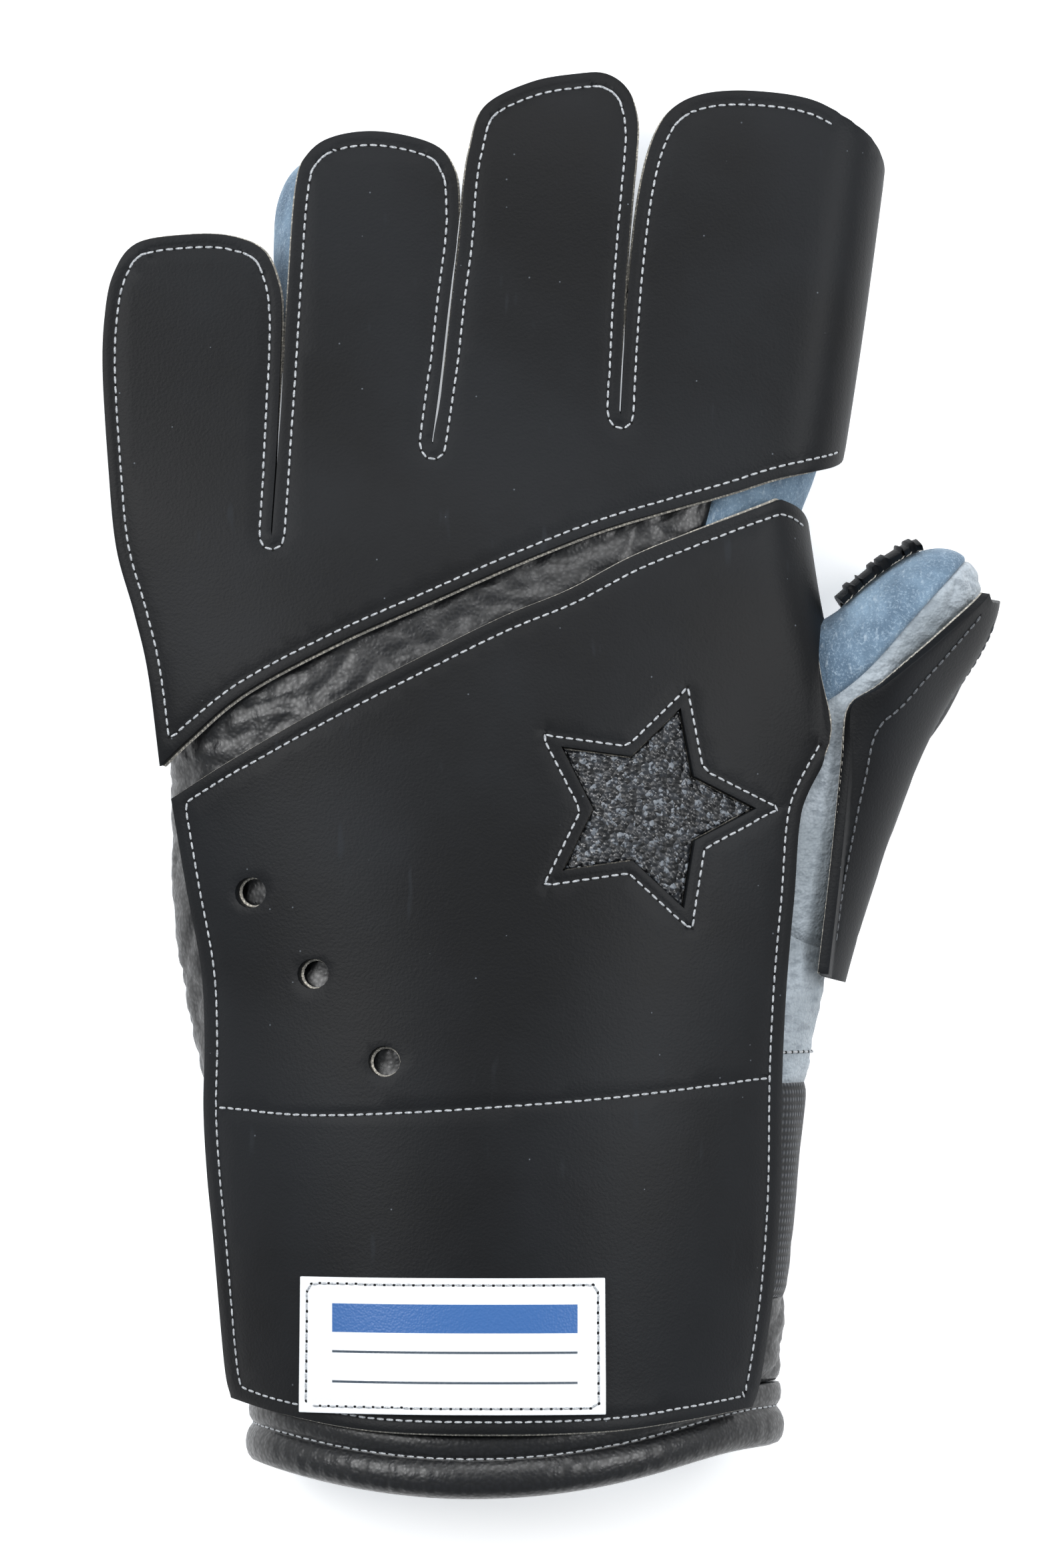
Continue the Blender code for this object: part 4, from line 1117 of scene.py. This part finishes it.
def lens(length, width, height, around=8, rows=6):
    """A stitch: thickest in its middle, dipping into the leather at both ends."""
    points = []
    for row in range(1, rows):
        angle = math.pi * row / rows
        for k in range(around):
            turn = 2 * math.pi * k / around
            swell = math.sin(angle) ** 0.6
            points.append((
                -math.cos(angle) * length / 2,
                math.cos(turn) * swell * width / 2,
                math.sin(turn) * swell * height / 2,
            ))
    faces = []
    for row in range(rows - 2):
        for k in range(around):
            a, b = row * around + k, row * around + (k + 1) % around
            faces.append((a, b, b + around, a + around))
    first, last = len(points), len(points) + 1
    points += [(-length / 2, 0, 0), (length / 2, 0, 0)]
    end = (rows - 2) * around
    for k in range(around):
        faces.append((first, (k + 1) % around, k))
        faces.append((last, end + k, end + (k + 1) % around))
    return np.array(points), faces


def sew(name, lines, tree, material):
    """Stitches along lines that lie near a surface, and dark discs of painted shade at the needle holes
    between them.
    """
    shape, faces = lens(*STITCH_SIZE)
    dot, dot_faces = lens(*NEEDLE_HOLE_SHADE_SIZE, rows=4)
    thread_points, thread_faces, hole_shade_points, hole_shade_faces = [], [], [], []
    for line in lines:
        spots = even(line, STITCH_PITCH)
        for k in range(len(spots) - 1):
            middle = (spots[k] + spots[k + 1]) / 2
            for at, form, corners, made_points, made_faces, lift in (
                (middle, shape, faces, thread_points, thread_faces, STITCH_RISE),
                (spots[k], dot, dot_faces, hole_shade_points, hole_shade_faces, HOLE_SHADE_RISE),
            ):
                spot, normal, index, distance = tree.find_nearest(at)
                ahead = spots[k + 1] - spots[k]
                ahead = (ahead - normal * ahead.dot(normal)).normalized()
                sway = random.uniform(-STITCH_SWAY, STITCH_SWAY)
                ahead = Matrix.Rotation(sway, 3, normal) @ ahead
                frame_at = Matrix((ahead, normal.cross(ahead), normal))
                base = len(made_points)
                turned = form @ np.array(frame_at) + np.array(spot + normal * lift)
                made_points.extend(turned.tolist())
                made_faces.extend([tuple(base + i for i in face) for face in corners])
    add_piece(name, mesh_of(name, thread_points, thread_faces), material)
    # The needle holes' dark discs are painted shade
    name += "_holes"
    add_piece(name, mesh_of(name, hole_shade_points, hole_shade_faces), HOLE_SHADE)


def over(flat_run, side, lift):
    """A flat line carried up to where a sheet's top lies."""
    return [bent_point(point, side, lift) + SHIFT for point in flat_run]


def smooth_run(points, step):
    """Points every step or so along one smooth curve through the run's own points."""
    guide = [Vector(p) for p in points]
    ends = [guide[0] * 2 - guide[1], *guide, guide[-1] * 2 - guide[-2]]
    made = []
    for a, b, c, d in zip(ends, ends[1:], ends[2:], ends[3:]):
        count = max(1, round((c - b).length / step))
        for k in range(count):
            t = k / count
            made.append(
                0.5 * (2 * b + (c - a) * t + (2 * a - 5 * b + 4 * c - d) * t * t
                       + (3 * b - a - 3 * c + d) * t ** 3)
            )
    return made


def flat_outline(runs, step):
    """A closed outline in metres, laid flat, from runs of (across, along)."""
    outline = []
    for run in runs:
        points = [(u * FINGER_SPAN, v * GLOVE_LENGTH) for u, v in run]
        outline.extend(smooth_run(points, step))
    return outline


def star_outline(radius):
    """A five-pointed star in metres, laid flat."""
    centre = Vector((STAR_PLACE[0] * FINGER_SPAN, STAR_PLACE[1] * GLOVE_LENGTH))
    points = []
    for k in range(10):
        reach = radius if k % 2 == 0 else radius * STAR_WAIST
        angle = STAR_TURN - k * math.pi / 5
        points.append(centre + Vector((math.cos(angle), math.sin(angle))) * reach)
    return points


def hole_outline(across, along):
    centre = Vector((across * FINGER_SPAN, along * GLOVE_LENGTH))
    sides = 16
    turn = 2 * math.pi / sides
    return [
        centre + Vector((math.cos(k * turn), math.sin(k * turn))) * HOLE_RADIUS
        for k in range(sides)
    ]


def patch_outline():
    centre = Vector((PATCH_PLACE[0] * FINGER_SPAN, PATCH_PLACE[1] * GLOVE_LENGTH))
    half_width, half_height = PATCH_WIDTH / 2, PATCH_HEIGHT / 2
    corners = [
        centre + Vector((a * half_width, b * half_height))
        for a, b in ((-1, -1), (-1, 1), (1, 1), (1, -1), (-1, -1))
    ]
    outline = []
    for a, b in zip(corners, corners[1:]):
        count = round((b - a).length / PATCH_STEP)
        outline.extend(a.lerp(b, k / count) for k in range(count))
    return outline


def bent_point(point, side, lift):
    """Where a point of the flat sheet comes to lie on the back, or round its right side."""
    along = point.y / GLOVE_LENGTH
    reach = smooth_value(along, side, 1) * FINGER_SPAN if side else 10.0
    start = reach - SIDE_RADIUS * 0.75
    probe = 0.001
    at = min(point.x, start)
    here = back_height(at / FINGER_SPAN, along)
    slope = (back_height((at + probe) / FINGER_SPAN, along) - here) / probe
    angle = math.atan(-slope)
    turned = angle
    position = Vector((at, point.y, here))
    if point.x > start:
        turned = min(angle + (point.x - start) / SIDE_RADIUS, math.radians(88))
        position.x += SIDE_RADIUS * (math.sin(turned) - math.sin(angle))
        position.z -= SIDE_RADIUS * (math.cos(angle) - math.cos(turned))
        rest = point.x - start - SIDE_RADIUS * (turned - angle)
        position += Vector((math.cos(turned), 0, -math.sin(turned))) * rest
    return position + Vector((math.sin(turned), 0, math.cos(turned))) * lift


# Rim of the cuff


def cuff_loop(surface):
    """The cuff's open edge, in order, as (point, outward normal)."""
    whole = bmesh.new()
    whole.from_mesh(surface)
    whole.normal_update()
    mates = {}
    for edge in whole.edges:
        if len(edge.link_faces) == 1:
            a, b = edge.verts
            mates.setdefault(a, []).append(b)
            mates.setdefault(b, []).append(a)
    start = max(mates, key=lambda vertex: vertex.co.x)
    loop, before = [start], None
    while True:
        following = [v for v in mates[loop[-1]] if v is not before]
        before = loop[-1]
        if following[0] is start or (len(loop) > 2 and start in following):
            break
        loop.append(following[0])
    made = [(vertex.co.copy(), vertex.normal.copy()) for vertex in loop]
    whole.free()
    return made


def rim_section(point, normal, seed):
    """Points round the padded roll at one place of the cuff's edge."""
    flat = Vector((normal.x, 0, normal.z)).normalized()
    pucker = (noise.noise(Vector((seed * 0.55, 0, 3))) * 0.22
              + noise.noise(Vector((seed * 1.9, 5, 0))) * 0.10)
    made = []
    for axial, radial in RIM_OUTSIDE:
        swell = pucker if 0.45 < axial < 1.0 else pucker * 0.3
        at = point + Vector((0, -SEAM_GAP - axial * RIM_LENGTH, 0))
        made.append(at + flat * (RIM_SEAM_DEPTH * (radial + swell)))
    for axial, share in RIM_INSIDE:
        at = point + Vector((0, -SEAM_GAP - axial * RIM_LENGTH, 0))
        made.append(at - flat * (share * RIM_THICKNESS))
    for at in made:
        at.z = max(at.z, 0.0002)
    return made


def rim_piece(name, loop, upper, material, node):
    """One half of the padded roll at the cuff's end; returns the piece and its stitch line."""
    count = len(loop)
    ring = [i for i, (point, normal) in enumerate(loop) if (point.z >= RIM_SPLIT) == upper]
    start = next(i for i in ring if (i - 1) % count not in ring)
    order = [(start + k) % count for k in range(len(ring))]
    sections = [rim_section(*loop[index], index * 0.9) for index in order]
    size = len(sections[0])
    points = [p for section in sections for p in section]
    faces = []
    for row in range(len(sections) - 1):
        for k in range(size):
            a, b = row * size + k, row * size + (k + 1) % size
            faces.append((a, b, b + size, a + size))
    last = (len(sections) - 1) * size
    faces.append(tuple(range(size)))
    faces.append(tuple(last + k for k in reversed(range(size))))
    mesh = mesh_of(name, points, faces)
    whole = bmesh.new()
    whole.from_mesh(mesh)
    bmesh.ops.recalc_face_normals(whole, faces=whole.faces)
    whole.to_mesh(mesh)
    whole.free()
    piece = add_piece(name, mesh, material, node)
    seam = [section[RIM_STITCH] for section in sections]
    return piece, seam


# Thumb sheets


def thumb_sheet(name, rows, outward, tree, gap, snapped, node):
    """A rubber sheet on the thumb, lofted between its near and far edge."""
    edges = []
    for side in (0, 1):
        line = [place(u, v, h * FINGER_HEIGHT) + SHIFT for u, v, h in (row[side] for row in rows)]
        edges.append(line)
    lines = []
    for line in edges:
        smooth = smooth_run(line, 0.0008) + [line[-1]]
        picks = [smooth[round(k * (len(smooth) - 1) / THUMB_LINES)]
                 for k in range(THUMB_LINES + 1)]
        lines.append(picks)
    points, faces = [], []
    for a, b in zip(*lines):
        for k in range(THUMB_COLUMNS + 1):
            t = k / THUMB_COLUMNS
            bulge = outward * (THUMB_PANEL_BULGE * FINGER_HEIGHT * 4 * t * (1 - t))
            at = a.lerp(b, t) + bulge
            if snapped:
                spot, normal, index, distance = tree.find_nearest(at)
                at = spot + normal * gap
            points.append(seated(at, tree, gap))
    wide = THUMB_COLUMNS + 1
    for row in range(THUMB_LINES):
        for k in range(THUMB_COLUMNS):
            a = row * wide + k
            faces.append((a, a + 1, a + 1 + wide, a + wide))
    mesh = mesh_of(name, points, faces)
    backing = mesh.copy()
    thick_sheet(name + "_backing", backing, BACKING, KNIT, (), 0.0, up=outward)
    for vertex in mesh.vertices:
        vertex.co += outward * HOLE_SHADE_RISE
    piece = thick_sheet(name + "_rubber", mesh, RUBBER, RUBBER_SKIN, (node,), 0.0004, up=outward)
    grid = [points[row * wide:(row + 1) * wide] for row in range(THUMB_LINES + 1)]
    return piece, grid


# Assembly

RUBBER_SKIN = rubber_look()
BLACK_LEATHER = black_leather_look()
SUEDE = suede_look()
GREY_LEATHER = grey_leather_look()
ELASTIC = elastic_look()
CRUMB = granulate_look()
LABEL = label_look()
KNIT = backing_look()
THREAD = thread_look("white_thread", "83878c", "b9bcbf")
DARK_THREAD = thread_look("dark_thread", "35383c", "5d6166")
# Dark discs at the needle holes: painted shade
HOLE_SHADE = plain_look("needle_hole_shade", "060607", 0.9)

SEWN_LOOKS = {
    "back_leather": BLACK_LEATHER,
    "thumb_leather": GREY_LEATHER,
    "side_leather": GREY_LEATHER,
    "wrist_elastic": ELASTIC,
}
surface = glove_surface(4)
for label in PIECES:
    wall = ELASTIC_WALL if label == "wrist_elastic" else LEATHER_WALL
    sewn_piece(surface, label, wall, SEWN_LOOKS.get(label, SUEDE))
skin_tree = tree_of(surface)

loop = cuff_loop(surface)
back_rim, back_seam = rim_piece("cuff_roll_back", loop, True, BLACK_LEATHER, "cuff_rim_back")
rim_piece("cuff_roll_palm", loop, False, SUEDE, "cuff_rim_palm")
sew("cuff_roll_stitches", [back_seam], tree_of(back_rim.data), THREAD)

top_of_sheet = SEAT_GAP + RUBBER

finger_outline = flat_outline(FINGER_PANEL, OUTLINE_STEP)
finger_seams = edge_seams(finger_outline, FINGER_SEAM, FINGER_SEAM_REACH * FINGER_SPAN)
laid_sheet("finger_backing", inset(finger_outline, -BACKING_REACH), [], [], FINGER_PANEL_SIDE, SEAT_GAP,
           BACKING, skin_tree, KNIT, (), edge=0.0)
fingers = laid_sheet("finger_rubber", finger_outline, [], finger_seams, FINGER_PANEL_SIDE, SEAT_GAP,
                     RUBBER, skin_tree, RUBBER_SKIN, ("finger_panel",), press=SEAM_PRESS)
fingers_tree = tree_of(fingers.data)
sew("finger_stitches", [over(run, FINGER_PANEL_SIDE, top_of_sheet) for run in finger_seams],
    fingers_tree, THREAD)

hand_outline = flat_outline(HAND_PANEL, OUTLINE_STEP)
star_edge = closed(star_outline(STAR_RADIUS))
vents = [hole_outline(*spot) for spot in HOLE_PLACES]
star_seam = closed(star_outline(STAR_RADIUS * STAR_SEAM_SHARE))
star_seam.append(star_seam[0])
hand_seams = edge_seams(hand_outline, HAND_SEAM, HAND_SEAM_REACH * FINGER_SPAN)
wrist_line = [Vector((u * FINGER_SPAN, v * GLOVE_LENGTH)) for u, v in WRIST_SEAM]
wrist_seam = smooth_run(wrist_line, OUTLINE_STEP)
all_seams = hand_seams + [star_seam, wrist_seam]
laid_sheet("hand_backing", inset(hand_outline, -BACKING_REACH), [inset(star_edge, 0.0005)] +
           [inset(vent, BACKING_REACH) for vent in vents], [], HAND_PANEL_SIDE, SEAT_GAP,
           BACKING, skin_tree, KNIT, (), edge=0.0)
hand = laid_sheet("hand_rubber", hand_outline, [star_edge, *vents], all_seams, HAND_PANEL_SIDE,
                  SEAT_GAP, RUBBER, skin_tree, RUBBER_SKIN, ("hand_panel",), press=SEAM_PRESS)
hand_tree = tree_of(hand.data)
sew("hand_stitches", [over(run, HAND_PANEL_SIDE, top_of_sheet) for run in all_seams], hand_tree,
    THREAD)

crumb_outline = closed(star_outline(STAR_RADIUS - GRIP_CLEARANCE))
laid_sheet("star_crumb", crumb_outline, [], [], None, SEAT_GAP, GRIP_THICKNESS, skin_tree, CRUMB,
           ("star_grip",), step=0.0008, edge=0.0, roughness=0.00012)

label_outline = closed(patch_outline())
label_seams = runs_of(inset(label_outline, LABEL_SEAM))
label_piece = laid_sheet("name_label", label_outline, [], label_seams, None, top_of_sheet + 0.0004,
                         PATCH_THICKNESS, hand_tree, LABEL, ("label_patch",), step=0.0022,
                         press=0.00018, edge=0.0002, gap=0.0003)
sew("label_stitches", [over(run, None, top_of_sheet + 0.0012) for run in label_seams],
    tree_of(label_piece.data), THREAD)

ahead, width, rise = thumb_axes()
outer, outer_grid = thumb_sheet("thumb_outer", THUMB_OUTER_PANEL, rise, skin_tree, THUMB_SEAT_GAP,
                                False, "thumb_outer_panel")
thumb_sheet("thumb_inner", THUMB_INNER_PANEL, width, skin_tree, SEAT_GAP, True, "thumb_inner_panel")
outer_seams = [
    [line[column] + rise * RUBBER for line in outer_grid[THUMB_SEAM_SPAN]]
    for column in THUMB_SEAM_COLUMNS
]
sew("thumb_stitches", outer_seams, tree_of(outer.data), DARK_THREAD)
side_seam = [place(u, v, h) + SHIFT for u, v, h in SIDE_SEAM]
sew("side_stitches", [smooth_run(side_seam, 0.001)], skin_tree, THREAD)

# Studio

floor_mesh = mesh_of("floor", [(-3, -3, 0), (3, -3, 0), (3, 3, 0), (-3, 3, 0)], [(0, 1, 2, 3)])
floor = bpy.data.objects.new("floor", floor_mesh)
bpy.context.scene.collection.objects.link(floor)
floor_mesh.materials.append(floor_look())
floor.location.z = min(cad_box[0][2], 0) - 0.0002

world = bpy.data.worlds.new("studio")
world.use_nodes = True
world.node_tree.nodes["Background"].inputs["Color"].default_value = (0.90, 0.95, 1.0, 1)
world.node_tree.nodes["Background"].inputs["Strength"].default_value = 0.42
bpy.context.scene.world = world


def soft_light(name, spot, aim, size, power):
    """A square studio panel that looks at a point of the glove."""
    lamp = bpy.data.lights.new(name, "AREA")
    lamp.shape = "SQUARE"
    lamp.size = size
    lamp.energy = power
    obj = bpy.data.objects.new(name, lamp)
    bpy.context.scene.collection.objects.link(obj)
    obj.location = spot
    obj.rotation_euler = (Vector(aim) - Vector(spot)).to_track_quat("-Z", "Y").to_euler()


soft_light("panel_left", (-1.1, 0.5, 1.3), (0, 0, 0), 0.9, 22)
soft_light("panel_right", (1.1, 0.3, 1.2), (0, 0, 0), 0.8, 16)
soft_light("panel_top", (0.1, 1.3, 1.5), (0, 0.05, 0), 0.9, 14)

VIEW_HEIGHT = 2.6
SHARP_HEIGHT = 0.035
PICTURE_ROWS = 2348
FRAME_LENGTH = PICTURE_ROWS * 0.1405 * 0.001
camera_data = bpy.data.cameras.new("camera")
camera_data.lens = 36 * (VIEW_HEIGHT - SHARP_HEIGHT) / FRAME_LENGTH
camera_data.clip_end = 20
camera = bpy.data.objects.new("camera", camera_data)
camera.location = (-0.00485 + SHIFT.x, 0.0005 + SHIFT.y, VIEW_HEIGHT)
bpy.context.scene.collection.objects.link(camera)
bpy.context.scene.camera = camera
bpy.context.scene.view_settings.view_transform = "Standard"
